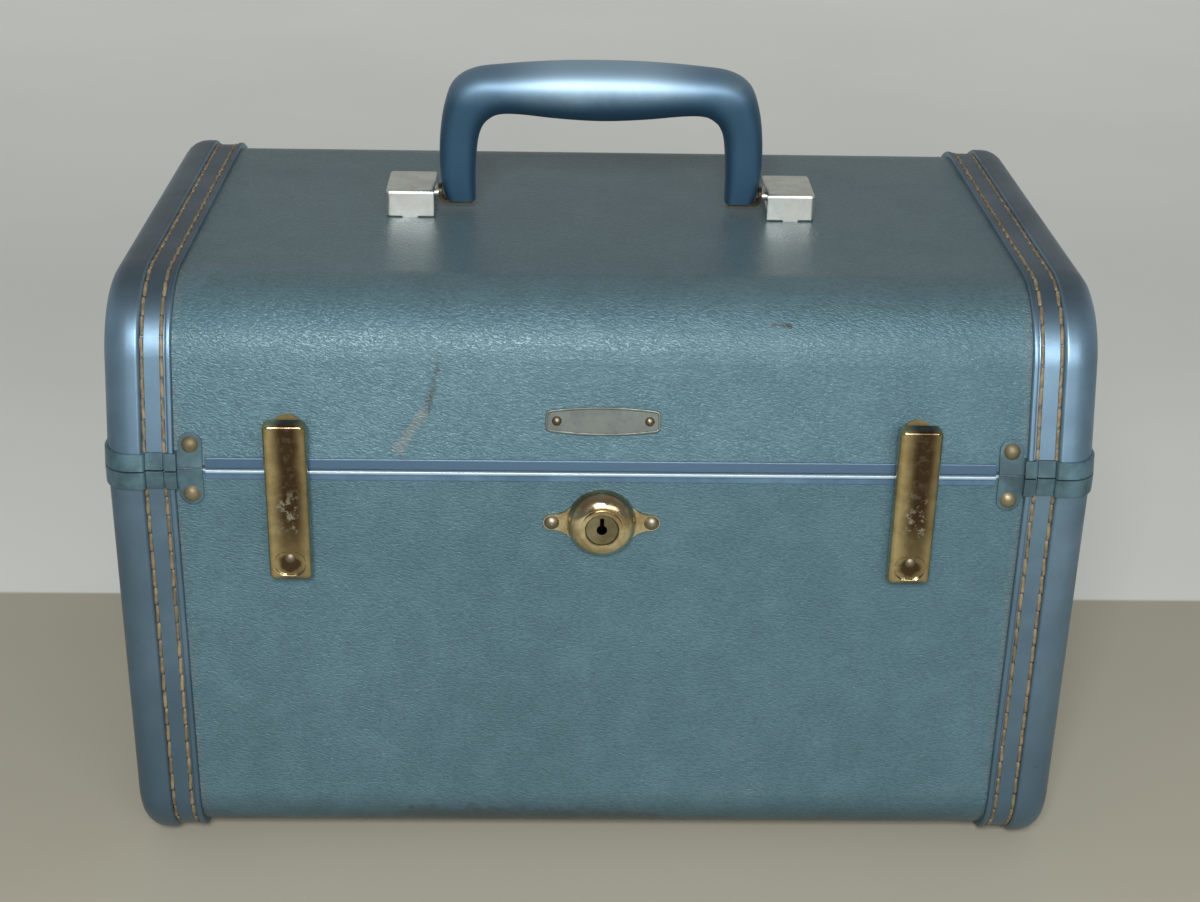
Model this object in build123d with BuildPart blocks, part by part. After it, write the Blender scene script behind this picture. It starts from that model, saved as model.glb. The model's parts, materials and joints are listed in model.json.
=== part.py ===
"""A small hard-sided vanity case: a covered wooden box with a hinged lid, moulded end
caps, two spring latches, a key lock, a folding top handle and a lift-out tray.

Millimetres. X runs along the case, -Y is the front, +Z is up. The origin is on the
table, midway along the case and midway between the front and back panels.
"""

import os
from math import asin, cos, degrees, radians, sin, tan

from build123d import *

# The box
panel_depth = 222.0  # front panel to back panel
groove_span = 300.0  # between the inner lips of the two end caps
cap_width = 24.3  # inner lip to the flat end of the case
roll_rise = 3.2  # how far the end caps' rolls stand off the panels
body_depth = 158.4  # closing line down to the bottom panel
body_round = 22.0  # round where the bottom meets the front and the back
lid_height = 60.9  # closing line up to the lid's top panel
lid_lean = 14.0  # degrees the lid's front and back lean inwards
lid_round = 30.5  # round where the lid's top meets the front and the back
end_round = 7.0  # round of the box's end corners, under the caps
closing_gap = 0.6  # daylight between the body's rail and the lid's rail

# Walls
cover_gauge = 0.8  # grained vinyl cloth
wall_gauge = 3.2  # wooden box
lining_gauge = 1.0  # padded paper and cloth lining
cap_end_gauge = 2.0  # moulded end cap over the end boards

# End caps, seen in section from the inner lip outwards
lip_width = 2.0
lip_rise = 2.3
strip_rise = 1.5
stitch_groove_width = 1.2
stitch_groove_depth = 0.5
first_stitch_line = 3.3  # lip's inner edge to the first row of stitches
second_stitch_line = 10.1
roll_start = 10.8
roll_round = 9.5
roll_shoulder = 1.4

# Rails along the closing line
rail_gauge = 1.0
rail_lip_gauge = 0.8
rail_flange_gauge = 0.5  # body's rail below its bead
rail_bead_gauge = 1.0  # body's rail along its upper edge
rail_bead_height = 1.4
rail_lip_height = 3.6
rail_end_gap = 1.0  # end of the rail's outer lip to the channel's tab
tongue_gauge = 1.0
tongue_height = 2.4  # above the closing line
tongue_clearance = 0.6

# End channels, the painted metal straps round the ends at the closing line
channel_gauge = 1.0
channel_height = 6.4
crimp_width = 0.7
tab_radius = 4.2
tab_offset = 5.6  # inner lip of the cap to the tab's rivet, along the panel
tab_rivet_drop = 9.0  # closing line to the tab's rivet
channel_rivet_radius = 3.0

# Latches
latch_spacing = 221.0
hasp_width = 15.2
hasp_top = 19.9  # above the closing line
hasp_thickness = 5.5
hasp_standoff = 1.3
hasp_gauge = 1.0
hasp_pin_drop = 38.5  # closing line down to the pin
hasp_heel_radius = 2.3
hasp_front_gauge = 1.4
hasp_front_round = 2.6
hasp_top_round = 1.5
hasp_edge_round = 2.2
hasp_mouth = 1.6  # pin to the lower end of the front wall, outwards
dish_width = 11.6
dish_height = 9.8
dish_depth = 0.8
dish_round = 4.4
dish_above_pin = 4.7
hasp_rivet_above_pin = 6.4
hasp_rivet_radius = 1.75
hasp_rivet_shank = 0.8
latch_pin_radius = 0.9
latch_base_width = 11.2
latch_base_gauge = 0.8
latch_ear_gauge = 1.0
latch_ear_radius = 1.5
latch_ear_rise = 7.0
hook_width = 8.0
hook_gauge = 0.8
hook_lip_gap = 0.3
hook_reach = 4.8
keeper_gauge = 0.9
keeper_width = 11.6
keeper_top = 20.1  # along the lid's slope, closing line to the keeper's rounded top
keeper_foot = 6.0
keeper_rivet_height = 14.3
keeper_rivet_spacing = 5.6
nose_width = 8.0
nose_reach = 1.5
nose_top = 11.2
nose_height = 3.4
spring_gauge = 0.4
spring_width = 6.0
spring_top = 22.0  # closing line down to the leaf spring's flat foot
spring_bend = 26.0
spring_tip = 33.4
spring_lift = 1.9
latch_base_top = 4.6
base_rivet_drops = (8.5, 18.5)
small_rivet_radius = 1.8
small_rivet_height = 0.7
rivet_shank_radius = 1.0

# Lock
lock_drop = 19.3  # closing line down to the key's axis
escutcheon_radius = 12.5
escutcheon_gauge = 1.2
escutcheon_rise = 5.4
lug_spacing = 35.6
lug_radius = 3.0
lug_neck = 8.5
lock_rivet_radius = 2.7
lock_rivet_height = 1.6
lock_rivet_shank = 1.3
barrel_radius = 7.0
barrel_stand = 7.6  # barrel's rim in front of the panel
barrel_rim_radius = 7.5
plug_sink = 0.7  # plug's face behind the barrel's rim
plug_radius = 5.9
plug_bevel = 0.3  # on the plug's face and inside the barrel's rim
nut_radius = 9.6
nut_gauge = 2.4
barrel_length_inside = 8.6  # panel's face to the barrel's inner end
key_slot_width = 1.5
key_slot_height = 4.6
key_round_radius = 1.9
keyhole_depth = 4.0
cam_radius = 5.0
cam_gauge = 1.0
cam_pin_radius = 1.0
cam_pin_throw = 3.5
bolt_gauge = 1.5
bolt_play = 0.3
case_width = 31.0
case_flange = 5.0
case_gauge = 1.0
case_top_drop = 5.0
case_height = 27.0
case_depth = 9.1
case_flange_height = 14.0
striker_gauge = 1.3
striker_width = 8.0
striker_left = 2.0
striker_drop = 12.0  # closing line down to the striker's tip
striker_notch_drop = 7.2
striker_notch_height = 3.0
striker_notch_depth = 4.8
striker_bridge = 8.0  # closing line up to the striker's bridge
striker_plate_top = 20.0
striker_rivet_heights = (13.4, 17.9)

# Handle
handle_setback = 0.5  # the handle's pivots in front of the lid's middle
handle_pivot_height = 6.0
handle_pin_radius = 1.6
link_gauge = 1.2
link_width = 7.0
link_eye_inner = 61.4  # the handle's middle to the inner face of the link's eye
link_foot_inner = 49.5
link_foot_height = 2.8
link_bend = 2.1  # inside of the link's bend
bracket_inner = 63.8
bracket_width = 18.4
bracket_depth = 26.0
bracket_height = 10.7
bracket_gauge = 1.0
bracket_round = 1.6
bracket_edge_round = 1.4
bracket_standoff = 0.5  # the bracket's lower edge above the lid, between its tabs
bearing_gauge = 1.2
bearing_spacing = 11.0
bearing_radius = 2.8
base_inset = 1.4  # bracket's sides to the base plate inside it
base_gauge = 1.0
handle_rivet_spacing = 15.0
bracket_tab_width = 6.0
slot_clearance = 0.1
screw_head_radius = 2.2
screw_head_height = 0.8
screw_shank_radius = 1.2
screw_length = 12.0
screw_x = 54.6
running_clearance = 0.05

# Hinges
hinge_spacing = 180.0
hinge_width = 36.0
hinge_offset = 5.0  # the hinge pins behind the back panel
knuckle_radius = 2.6
hinge_pin_radius = 1.1
leaf_gauge = 1.0
leaf_reach = 18.0
leaf_joggle = 5.6  # closing line to where the leaf leaves the panel
knuckle_gap = 0.3

# Nameplate
plate_length = 40.4
plate_end_height = 7.4
plate_bow = 1.4
plate_gauge = 0.9
plate_rim = 0.8
plate_field_depth = 0.4
plate_height = 18.4  # closing line to the plate's middle
plate_pin_spacing = 32.6
plate_pin_radius = 1.7

# Tray and mirror
tray_side_clearance = 1.9  # tray to the lock's case, and the same behind
tray_height = 38.0
tray_drop = 8.0  # closing line to the tray's rim
tray_wall = 2.0
tray_end_clearance = 1.2  # tray to the inside of the rail, at each end
tray_seat_gap = 0.3
tray_divider_gauge = 1.6
tray_grip_width = 60.0
tray_grip_depth = 9.0
tray_round = 6.0
tray_divider_drop = 8.0
tray_divider_x = 62.0
ledge_width = 8.0
ledge_height = 10.0
ledge_inset = 8.0  # end of a ledge in from the tray's front or back
mirror_length = 220.0
mirror_side_margin = 6.0  # mirror's frame to the round of the lining
mirror_gauge = 2.5
mirror_frame_edge = 2.0  # mirror's edge to the outside of its frame
mirror_frame_gauge = 3.6
mirror_overlap = 4.0
mirror_round = 8.0
mirror_clearance = 0.1

# Places that follow from the sizes
closing = roll_rise + body_depth
lid_closing = closing + closing_gap
panel_bottom = roll_rise
lid_top = closing + lid_height
front = -panel_depth / 2
back = panel_depth / 2
lip_inner = groove_span / 2
end_plane = lip_inner + cap_width
box_end = end_plane - cap_end_gauge
inner_gauge = cover_gauge + wall_gauge
lined_gauge = inner_gauge + lining_gauge
slope = tan(radians(lid_lean))
slant = cos(radians(lid_lean))
trim = 30.0  # how far a block runs past the plane that trims it

front_face = Plane(origin=(0, front, closing), x_dir=(1, 0, 0), z_dir=(0, -1, 0))
back_face = Plane(origin=(0, back, closing), x_dir=(-1, 0, 0), z_dir=(0, 1, 0))
lid_front_face = Plane(
    origin=(0, front, closing),
    x_dir=(1, 0, 0),
    z_dir=(0, -slant, sin(radians(lid_lean))),
)
lid_back_face = Plane(
    origin=(0, back, closing),
    x_dir=(-1, 0, 0),
    z_dir=(0, slant, sin(radians(lid_lean))),
)

tab_x = lip_inner - tab_offset
rail_half_length = tab_x - tab_radius - rail_end_gap
latch_x = latch_spacing / 2
lock_z = closing - lock_drop
handle_y = -handle_setback
pivot_z = lid_top + handle_pivot_height
hinge_y = back + hinge_offset
hinge_z = closing + closing_gap / 2

os.makedirs("parts", exist_ok=True)


def save(piece, name):
    """Label a finished piece and write it to its own STEP file."""
    piece.part.label = name
    export_step(piece.part, f"parts/{name}.step")


def save_pair(right, name):
    """Write a right-hand piece and its mirror image."""
    save(right, f"{name}_right")
    with BuildPart() as left:
        mirror(right.part, about=Plane.YZ)
    save(left, f"{name}_left")


# Side outlines of the body and the lid. Each runs past the closing line by trim.


def body_outline(grow):
    """The body seen from its end, grown outwards; sketch X is case Y, sketch Y is up."""
    half = panel_depth / 2 + grow
    with BuildSketch() as outline:
        with BuildLine():
            Polyline(
                (-half, panel_bottom - grow),
                (half, panel_bottom - grow),
                (half, closing + trim),
                (-half, closing + trim),
                close=True,
            )
        make_face()
        fillet(outline.vertices().group_by(Axis.Y)[0], body_round + grow)
    return outline.sketch


def lid_outline(grow):
    """The lid seen from its end, with its front and back leaning inwards."""
    foot = panel_depth / 2 + grow / slant + slope * trim
    crown = panel_depth / 2 + grow / slant - slope * (lid_height + grow)
    with BuildSketch() as outline:
        with BuildLine():
            Polyline(
                (-foot, closing - trim),
                (foot, closing - trim),
                (crown, lid_top + grow),
                (-crown, lid_top + grow),
                close=True,
            )
        make_face()
        fillet(outline.vertices().group_by(Axis.Y)[-1], lid_round + grow)
    return outline.sketch


def block(outline, grow, half_length, rounding=0.0):
    """A solid block of the box, grown by grow, with its end edges rounded."""
    with BuildPart() as solid:
        with BuildSketch(Plane.YZ):
            add(outline(grow))
        extrude(amount=half_length, both=True)
        if rounding > 0:
            ends = solid.faces().filter_by(Axis.X)
            fillet(ends.edges(), rounding)
    return solid.part


def keep_side(piece, height, side):
    """Trim a piece at a height, keeping the material on one side of it."""
    split(piece.part, bisect_by=Plane.XY.offset(height), keep=side)


# The wooden box, its vinyl cover and its lining


def box_shell(outline, height, side):
    """Five wooden walls, open at the closing line."""
    with BuildPart() as shell:
        add(block(outline, -cover_gauge, box_end, end_round - cover_gauge))
        add(block(outline, -inner_gauge, box_end - wall_gauge), mode=Mode.SUBTRACT)
        keep_side(shell, height, side)
    return shell


def box_cover(outline, height, side):
    """Vinyl cloth wrapped round the box and tucked under the end caps."""
    cover_end = box_end - end_round
    with BuildPart() as cover:
        add(block(outline, 0.0, cover_end))
        add(block(outline, -cover_gauge, cover_end + 1), mode=Mode.SUBTRACT)
        keep_side(cover, height, side)
    return cover


def box_lining(outline, height, side):
    """The lining glued inside the wooden walls."""
    with BuildPart() as lining:
        add(block(outline, -inner_gauge, box_end - wall_gauge))
        add(block(outline, -lined_gauge, box_end - wall_gauge - lining_gauge), mode=Mode.SUBTRACT)
        keep_side(lining, height, side)
    return lining


def pierce(face, spots, radius, depth):
    """Drill into a face of the box at the given spots."""
    with BuildSketch(face) as holes:
        with Locations(*spots):
            Circle(radius)
    extrude(holes.sketch, amount=-depth, mode=Mode.SUBTRACT)


# End caps and the metal channels round them


def cap_band(outline, start, stop, grow):
    """One band of an end cap, from start to stop outside the lip's inner edge."""
    with BuildSketch(Plane.YZ.offset(lip_inner + start)) as band:
        add(outline(grow))
    extrude(band.sketch, amount=stop - start)


def cap_stack(outline, gauge, crimp):
    """The right-hand end cap's outside as a solid, grown by gauge, with two grooves."""
    first, second = first_stitch_line, second_stitch_line
    half_crimp = crimp / 2
    strip = strip_rise + gauge
    groove = strip - stitch_groove_depth
    with BuildPart() as roll:
        cap_band(outline, roll_start - gauge, cap_width + gauge, roll_rise + gauge)
        outer = roll.faces().filter_by(Axis.X).sort_by(Axis.X)
        fillet(outer[-1].edges(), roll_round + gauge)
        inner = roll.faces().filter_by(Axis.X).sort_by(Axis.X)
        fillet(inner[0].edges(), roll_shoulder)
    with BuildPart() as stack:
        add(roll.part)
        cap_band(outline, -gauge, lip_width + gauge, lip_rise + gauge)
        cap_band(outline, lip_width, first - half_crimp, strip)
        cap_band(outline, first - half_crimp, first + half_crimp, groove)
        cap_band(outline, first + half_crimp, second - half_crimp, strip)
        cap_band(outline, second - half_crimp, second + half_crimp, groove)
        cap_band(outline, second + half_crimp, roll_start + roll_shoulder, strip)
    return stack.part


def end_cap(outline, height, side):
    """A moulded cover over one end of the box, with its own end wall."""
    with BuildPart() as cap:
        add(cap_stack(outline, 0.0, stitch_groove_width))
        add(block(outline, 0.0, box_end, end_round), mode=Mode.SUBTRACT)
        keep_side(cap, height, side)
    return cap


def end_channel(outline, low, high, face, tab_up):
    """A formed strap over one end cap at the closing line, with a tab front and back."""
    with BuildPart() as channel:
        add(cap_stack(outline, channel_gauge, crimp_width))
        add(cap_stack(outline, 0.0, stitch_groove_width), mode=Mode.SUBTRACT)
        add(block(outline, 0.0, box_end, end_round), mode=Mode.SUBTRACT)
        keep_side(channel, low, Keep.TOP)
        keep_side(channel, high, Keep.BOTTOM)
        root = (closing_gap if tab_up > 0 else 0.0) / slant
        with BuildSketch(face) as tab:
            with Locations((tab_x, tab_up * tab_rivet_drop)):
                Circle(tab_radius)
            reach = tab_rivet_drop - root
            with Locations((tab_x, tab_up * (root + reach / 2))):
                Rectangle(2 * tab_radius, reach)
            joined = lip_inner - tab_x
            with Locations((tab_x + joined / 2, tab_up * (root + channel_height) / 2)):
                Rectangle(joined, channel_height - root)
            with Locations((tab_x, tab_up * tab_rivet_drop)):
                Circle(rivet_shank_radius + running_clearance, mode=Mode.SUBTRACT)
        tab_solid = extrude(amount=channel_gauge)
        mirror(tab_solid, about=Plane.XZ)
    return channel


# Fastenings


def dome_rivet(head_radius, head_height, seat, depth, shank_radius):
    """One round-headed rivet along +Z, its head on a seat and its shank down to -depth."""
    dome = (head_radius**2 + head_height**2) / (2 * head_height)
    middle = asin(head_radius / dome) / 2
    crown = seat + head_height
    with BuildPart() as rivet:
        with BuildSketch(Plane.XZ):
            with BuildLine():
                ThreePointArc(
                    (head_radius, seat),
                    (dome * sin(middle), crown - dome * (1 - cos(middle))),
                    (0, crown),
                )
                Polyline(
                    (0, crown),
                    (0, -depth),
                    (shank_radius, -depth),
                    (shank_radius, seat),
                    (head_radius, seat),
                )
            make_face()
        revolve(axis=Axis.Z)
    return rivet.part


def rivet_group(rivet, placings):
    """Copies of one rivet; placings pairs each face with its spots."""
    with BuildPart() as group:
        for face, spots in placings:
            with Locations(face):
                with Locations(*spots):
                    add(rivet)
    return group


def both_sides(x, y):
    """The same spot on the left and on the right."""
    return [(-x, y), (x, y)]


body_tabs = both_sides(tab_x, -tab_rivet_drop)
lid_tabs = both_sides(tab_x, tab_rivet_drop)
latch_base_spots = [
    (side * latch_x, -drop) for side in (-1, 1) for drop in base_rivet_drops
]
keeper_spots = [
    (side * latch_x + offset, keeper_rivet_height)
    for side in (-1, 1)
    for offset in (-keeper_rivet_spacing / 2, keeper_rivet_spacing / 2)
]
hinge_x = hinge_spacing / 2
leaf_rivet_height = (leaf_reach + leaf_joggle) / 2
leaf_rivet_offset = hinge_width / 3
body_leaf_spots = [
    (side * hinge_x + offset, -leaf_rivet_height)
    for side in (-1, 1)
    for offset in (-leaf_rivet_offset, leaf_rivet_offset)
]
lid_leaf_spots = [(x, -drop) for x, drop in body_leaf_spots]
lock_spots = both_sides(lug_spacing / 2, -lock_drop)
plate_spots = both_sides(plate_pin_spacing / 2, plate_height)
striker_x = striker_left + striker_width / 2
striker_spots = [(-striker_x, height) for height in striker_rivet_heights]
bracket_x = bracket_inner + bracket_width / 2
handle_rivet_spots = [
    (side * bracket_x, handle_y + offset)
    for side in (-1, 1)
    for offset in (-handle_rivet_spacing / 2, handle_rivet_spacing / 2)
]
bracket_wall_y = (bracket_depth - bracket_gauge) / 2
bracket_tab_spots = [
    (side * bracket_x, handle_y + offset)
    for side in (-1, 1)
    for offset in (-bracket_wall_y, bracket_wall_y)
]
lid_top_face = Plane.XY.offset(lid_top)
striker_inside = Plane(
    origin=lid_front_face.offset(-lined_gauge - striker_gauge).origin,
    x_dir=(-1, 0, 0),
    z_dir=-1 * lid_front_face.z_dir,
)
striker_pin_length = striker_gauge + lining_gauge + 0.8 * wall_gauge
rivet_hole = rivet_shank_radius + running_clearance
through = inner_gauge + 1.0

body_holes = [
    (front_face, body_tabs, rivet_hole),
    (back_face, body_tabs, rivet_hole),
    (front_face, latch_base_spots, rivet_hole),
    (back_face, body_leaf_spots, rivet_hole),
    (front_face, lock_spots, lock_rivet_shank + running_clearance),
    (front_face, [(0, -lock_drop)], barrel_radius + running_clearance),
]
lid_holes = [
    (lid_front_face, lid_tabs, rivet_hole),
    (lid_back_face, lid_tabs, rivet_hole),
    (lid_front_face, keeper_spots, rivet_hole),
    (lid_back_face, lid_leaf_spots, rivet_hole),
    (lid_front_face, plate_spots, rivet_hole),
    (lid_top_face, handle_rivet_spots, rivet_hole),
]


def drill(holes):
    """Drill every hole in a list into the walls of the box."""
    for face, spots, radius in holes:
        pierce(face, spots, radius, through)


def drill_for_striker():
    """Blind holes for the lock striker's pins, from inside the lid."""
    pierce(striker_inside, striker_spots, rivet_hole, striker_pin_length)


def bracket_slots():
    """Slots in the lid's top for the tabs of the handle's brackets."""
    with BuildSketch(lid_top_face) as slots:
        with Locations(*bracket_tab_spots):
            Rectangle(bracket_tab_width + 2 * slot_clearance, bracket_gauge + 2 * slot_clearance)
    extrude(slots.sketch, amount=-through, mode=Mode.SUBTRACT)


# The body's box

with BuildPart() as body_shell:
    add(box_shell(body_outline, closing - rail_gauge, Keep.BOTTOM).part)
    drill(body_holes)
save(body_shell, "body_shell")

with BuildPart() as body_cover:
    add(box_cover(body_outline, closing - rail_gauge, Keep.BOTTOM).part)
    drill(body_holes)
save(body_cover, "body_cover")

with BuildPart() as body_lining:
    add(box_lining(body_outline, closing - rail_gauge, Keep.BOTTOM).part)
    with BuildSketch(front_face):
        with Locations((0, -case_top_drop - case_height / 2)):
            Rectangle(case_width + 2 * case_flange + 1, case_height + 1)
    extrude(amount=-(lined_gauge + 1), mode=Mode.SUBTRACT)
save(body_lining, "body_lining")

# The lid's box

with BuildPart() as lid_shell:
    add(box_shell(lid_outline, lid_closing + rail_gauge, Keep.TOP).part)
    drill(lid_holes)
    drill_for_striker()
    bracket_slots()
save(lid_shell, "lid_shell")

with BuildPart() as lid_cover:
    add(box_cover(lid_outline, lid_closing + rail_gauge, Keep.TOP).part)
    drill(lid_holes)
    bracket_slots()
save(lid_cover, "lid_cover")

lid_lining_edge = closing + tongue_height + 2 * tongue_clearance
with BuildPart() as lid_lining:
    add(box_lining(lid_outline, lid_lining_edge, Keep.TOP).part)
    drill_for_striker()
save(lid_lining, "lid_lining")

# End caps and end channels

save_pair(end_cap(body_outline, closing, Keep.BOTTOM), "body_end_cap")
save_pair(end_cap(lid_outline, lid_closing, Keep.TOP), "lid_end_cap")
save_pair(
    end_channel(body_outline, closing - channel_height, closing, front_face, -1),
    "body_end_channel",
)
save_pair(
    end_channel(lid_outline, lid_closing, closing + channel_height, lid_front_face, 1),
    "lid_end_channel",
)

channel_rivet = dome_rivet(
    channel_rivet_radius, 1.6, channel_gauge, inner_gauge, rivet_shank_radius
)
body_channel_rivets = rivet_group(
    channel_rivet, [(front_face, body_tabs), (back_face, body_tabs)]
)
save(body_channel_rivets, "body_channel_rivets")
lid_channel_rivets = rivet_group(
    channel_rivet, [(lid_front_face, lid_tabs), (lid_back_face, lid_tabs)]
)
save(lid_channel_rivets, "lid_channel_rivets")

# Rails. The body's rail has an upstanding tongue that the lid closes over.

tongue_outer = inner_gauge + slope * tongue_height + tongue_clearance
tongue_inner = tongue_outer + tongue_gauge


def wall_ring(low, high, outer, inner):
    """A flat ring round the box between two distances in from its panels."""
    with BuildSketch(Plane.XY.offset(low)) as ring:
        for inset, mode in ((outer, Mode.ADD), (inner, Mode.SUBTRACT)):
            RectangleRounded(
                2 * (box_end - inset),
                panel_depth - 2 * inset,
                max(end_round - inset, rail_lip_gauge),
                mode=mode,
            )
    extrude(ring.sketch, amount=high - low)


def rail_lip(section, rounding):
    """A rail's outer lip on the front and the back, from its section at the front."""
    with BuildSketch(Plane.YZ) as lip_section:
        with BuildLine():
            Polyline(*section, close=True)
        make_face()
        outer = lip_section.vertices().filter_by(lambda v: v.X < front - 2 * rounding)
        fillet(outer, rounding)
    lip = extrude(lip_section.sketch, amount=rail_half_length, both=True)
    mirror(lip, about=Plane.XZ)


with BuildPart() as body_rail:
    wall_ring(closing - rail_gauge, closing, slot_clearance, tongue_inner)
    wall_ring(closing - rail_gauge, closing + tongue_height, tongue_outer, tongue_inner)
    bead_low = closing - rail_bead_height
    foot = closing - rail_lip_height
    rail_lip(
        [
            (front - rail_bead_gauge, closing),
            (front - rail_bead_gauge, bead_low),
            (front - rail_flange_gauge, bead_low),
            (front - rail_flange_gauge, foot),
            (front, foot),
            (front, closing - rail_gauge),
            (front + 2 * rail_gauge, closing - rail_gauge),
            (front + 2 * rail_gauge, closing),
        ],
        rail_bead_gauge * 0.24,
    )
save(body_rail, "body_rail")

with BuildPart() as lid_rail:
    lid_inset = slope * (closing_gap + rail_gauge) + slot_clearance
    wall_ring(
        lid_closing, lid_closing + rail_gauge, lid_inset, tongue_outer - tongue_clearance
    )
    lid_front_lip = [
        (front - rail_lip_gauge / slant + slope * (height - closing), height)
        for height in (lid_closing, lid_closing + rail_lip_height)
    ]
    lid_front_wall = [
        (front + slope * (height - closing), height)
        for height in (lid_closing + rail_lip_height, lid_closing + rail_gauge)
    ]
    lid_web = [
        (front + 2 * rail_gauge, lid_closing + rail_gauge),
        (front + 2 * rail_gauge, lid_closing),
    ]
    rail_lip(lid_front_lip + lid_front_wall + lid_web, rail_lip_gauge * 0.3)
save(lid_rail, "lid_rail")

# Hinges. Leaf sections are drawn outwards from the back panel and up from the closing line.

hinge_side = Plane(origin=(0, back, closing), x_dir=(0, 1, 0), z_dir=(1, 0, 0))
pin_height = hinge_z - closing
knuckle_half = hinge_width / 2
middle_half = hinge_width * 0.22


def leaf(plate_points, arm_points, spans):
    """One hinge leaf: a flat plate, and arms that end in knuckles over some spans."""
    with BuildPart() as piece:
        with BuildSketch(hinge_side):
            with BuildLine():
                Polyline(*plate_points, close=True)
            make_face()
        extrude(amount=knuckle_half, both=True)
        for start, stop in spans:
            with BuildSketch(hinge_side.offset(start)):
                with BuildLine():
                    Polyline(*arm_points, close=True)
                make_face()
                with Locations((hinge_offset, pin_height)):
                    Circle(knuckle_radius)
            extrude(amount=stop - start)
        with BuildSketch(hinge_side):
            with Locations((hinge_offset, pin_height)):
                Circle(hinge_pin_radius + running_clearance)
        extrude(amount=knuckle_half, both=True, mode=Mode.SUBTRACT)
    return piece.part


arm_start = leaf_joggle + leaf_gauge * 0.8
arm_root = (hinge_offset - 0.8 * knuckle_radius, 0.45 * knuckle_radius)
arm_tip = (hinge_offset, 0.85 * knuckle_radius)
body_leaf = leaf(
    [
        (0, -leaf_reach),
        (leaf_gauge, -leaf_reach),
        (leaf_gauge, -arm_start),
        (0, -leaf_joggle),
    ],
    [
        (0, -leaf_joggle),
        (leaf_gauge, -arm_start),
        (arm_tip[0], pin_height - arm_tip[1]),
        (arm_root[0], pin_height - arm_root[1]),
    ],
    [(-knuckle_half, -middle_half), (middle_half, knuckle_half)],
)


def on_lid_back(height, out):
    """A point on the lid's leaning back, out from its panel."""
    return (out / slant - slope * height, height)


lid_leaf = leaf(
    [
        on_lid_back(leaf_reach, 0),
        on_lid_back(leaf_reach, leaf_gauge),
        on_lid_back(arm_start + closing_gap, leaf_gauge),
        on_lid_back(leaf_joggle + closing_gap, 0),
    ],
    [
        on_lid_back(leaf_joggle + closing_gap, 0),
        on_lid_back(arm_start + closing_gap, leaf_gauge),
        (arm_tip[0], pin_height + arm_tip[1]),
        (arm_root[0], pin_height + arm_root[1]),
    ],
    [(knuckle_gap - middle_half, middle_half - knuckle_gap)],
)

with BuildPart() as hinge_body_leaves:
    with Locations((-hinge_x, 0, 0), (hinge_x, 0, 0)):
        add(body_leaf)
    pierce(back_face.offset(through), body_leaf_spots, rivet_hole, 2 * through)
save(hinge_body_leaves, "hinge_body_leaves")

with BuildPart() as hinge_lid_leaves:
    with Locations((-hinge_x, 0, 0), (hinge_x, 0, 0)):
        add(lid_leaf)
    pierce(lid_back_face.offset(leaf_gauge), lid_leaf_spots, rivet_hole, 2 * leaf_gauge)
save(hinge_lid_leaves, "hinge_lid_leaves")

with BuildPart() as hinge_pins:
    with BuildSketch(Plane.YZ):
        with Locations((hinge_y, hinge_z)):
            Circle(hinge_pin_radius)
    pin = extrude(amount=knuckle_half, both=True, mode=Mode.PRIVATE)
    with Locations((-hinge_x, 0, 0), (hinge_x, 0, 0)):
        add(pin)
save(hinge_pins, "hinge_pins")

# Latches. Sections are drawn outwards from the front panel and up from the closing line.

latch_side = Plane(origin=(latch_x, front, closing), x_dir=(0, -1, 0), z_dir=(-1, 0, 0))
hasp_front = hasp_standoff + hasp_thickness
latch_pin_out = hasp_standoff + hasp_heel_radius
hasp_inside = hasp_front - hasp_front_gauge
hasp_low = -hasp_pin_drop - hasp_heel_radius
hasp_rivet_z = -hasp_pin_drop + hasp_rivet_above_pin

with BuildPart() as latch_hasp:
    with BuildSketch(latch_side) as hasp_section:
        with BuildLine():
            Polyline(
                (hasp_standoff, hasp_low),
                (hasp_front, hasp_low),
                (hasp_front, hasp_top),
                (hasp_standoff, hasp_top),
                close=True,
            )
        make_face()
        low_corners = hasp_section.vertices().group_by(Axis.Y)[0].sort_by(Axis.X)
        fillet(low_corners[-1], hasp_front_round)
        fillet(hasp_section.vertices().group_by(Axis.Y)[0].sort_by(Axis.X)[0], hasp_heel_radius)
        top_corners = hasp_section.vertices().group_by(Axis.Y)[-1].sort_by(Axis.X)
        fillet(top_corners[-1], hasp_top_round)
    extrude(amount=hasp_width / 2, both=True)
    rim = latch_hasp.faces().filter_by(Axis.X).edges()
    back_edge_y = front - hasp_standoff
    fillet(rim.filter_by(lambda edge: edge.center().Y < back_edge_y - 0.1), hasp_edge_round)
    with BuildSketch(latch_side):
        with BuildLine():
            Polyline(
                (0, hasp_low - 1),
                (latch_pin_out + hasp_mouth, hasp_low - 1),
                (latch_pin_out + hasp_mouth, -hasp_pin_drop),
                (hasp_inside, -hasp_pin_drop),
                (hasp_inside, hasp_top - hasp_gauge),
                (0, hasp_top - hasp_gauge),
                close=True,
            )
        make_face()
    extrude(amount=hasp_width / 2 - hasp_gauge, both=True, mode=Mode.SUBTRACT)
    with BuildSketch(front_face.offset(hasp_front - dish_depth)):
        with Locations((latch_x, dish_above_pin - hasp_pin_drop)):
            RectangleRounded(
                dish_width - 2 * dish_depth, dish_height - 2 * dish_depth, dish_round - dish_depth
            )
    extrude(amount=2 * dish_depth, taper=-45, mode=Mode.SUBTRACT)
    with BuildSketch(front_face.offset(hasp_inside - 1)):
        with Locations((latch_x, hasp_rivet_z)):
            Circle(hasp_rivet_shank + running_clearance)
    extrude(amount=hasp_front_gauge + 1, mode=Mode.SUBTRACT)
    with BuildSketch(latch_side):
        with Locations((latch_pin_out, -hasp_pin_drop)):
            Circle(latch_pin_radius + running_clearance)
    extrude(amount=hasp_width, both=True, mode=Mode.SUBTRACT)
save_pair(latch_hasp, "latch_hasp")

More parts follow.
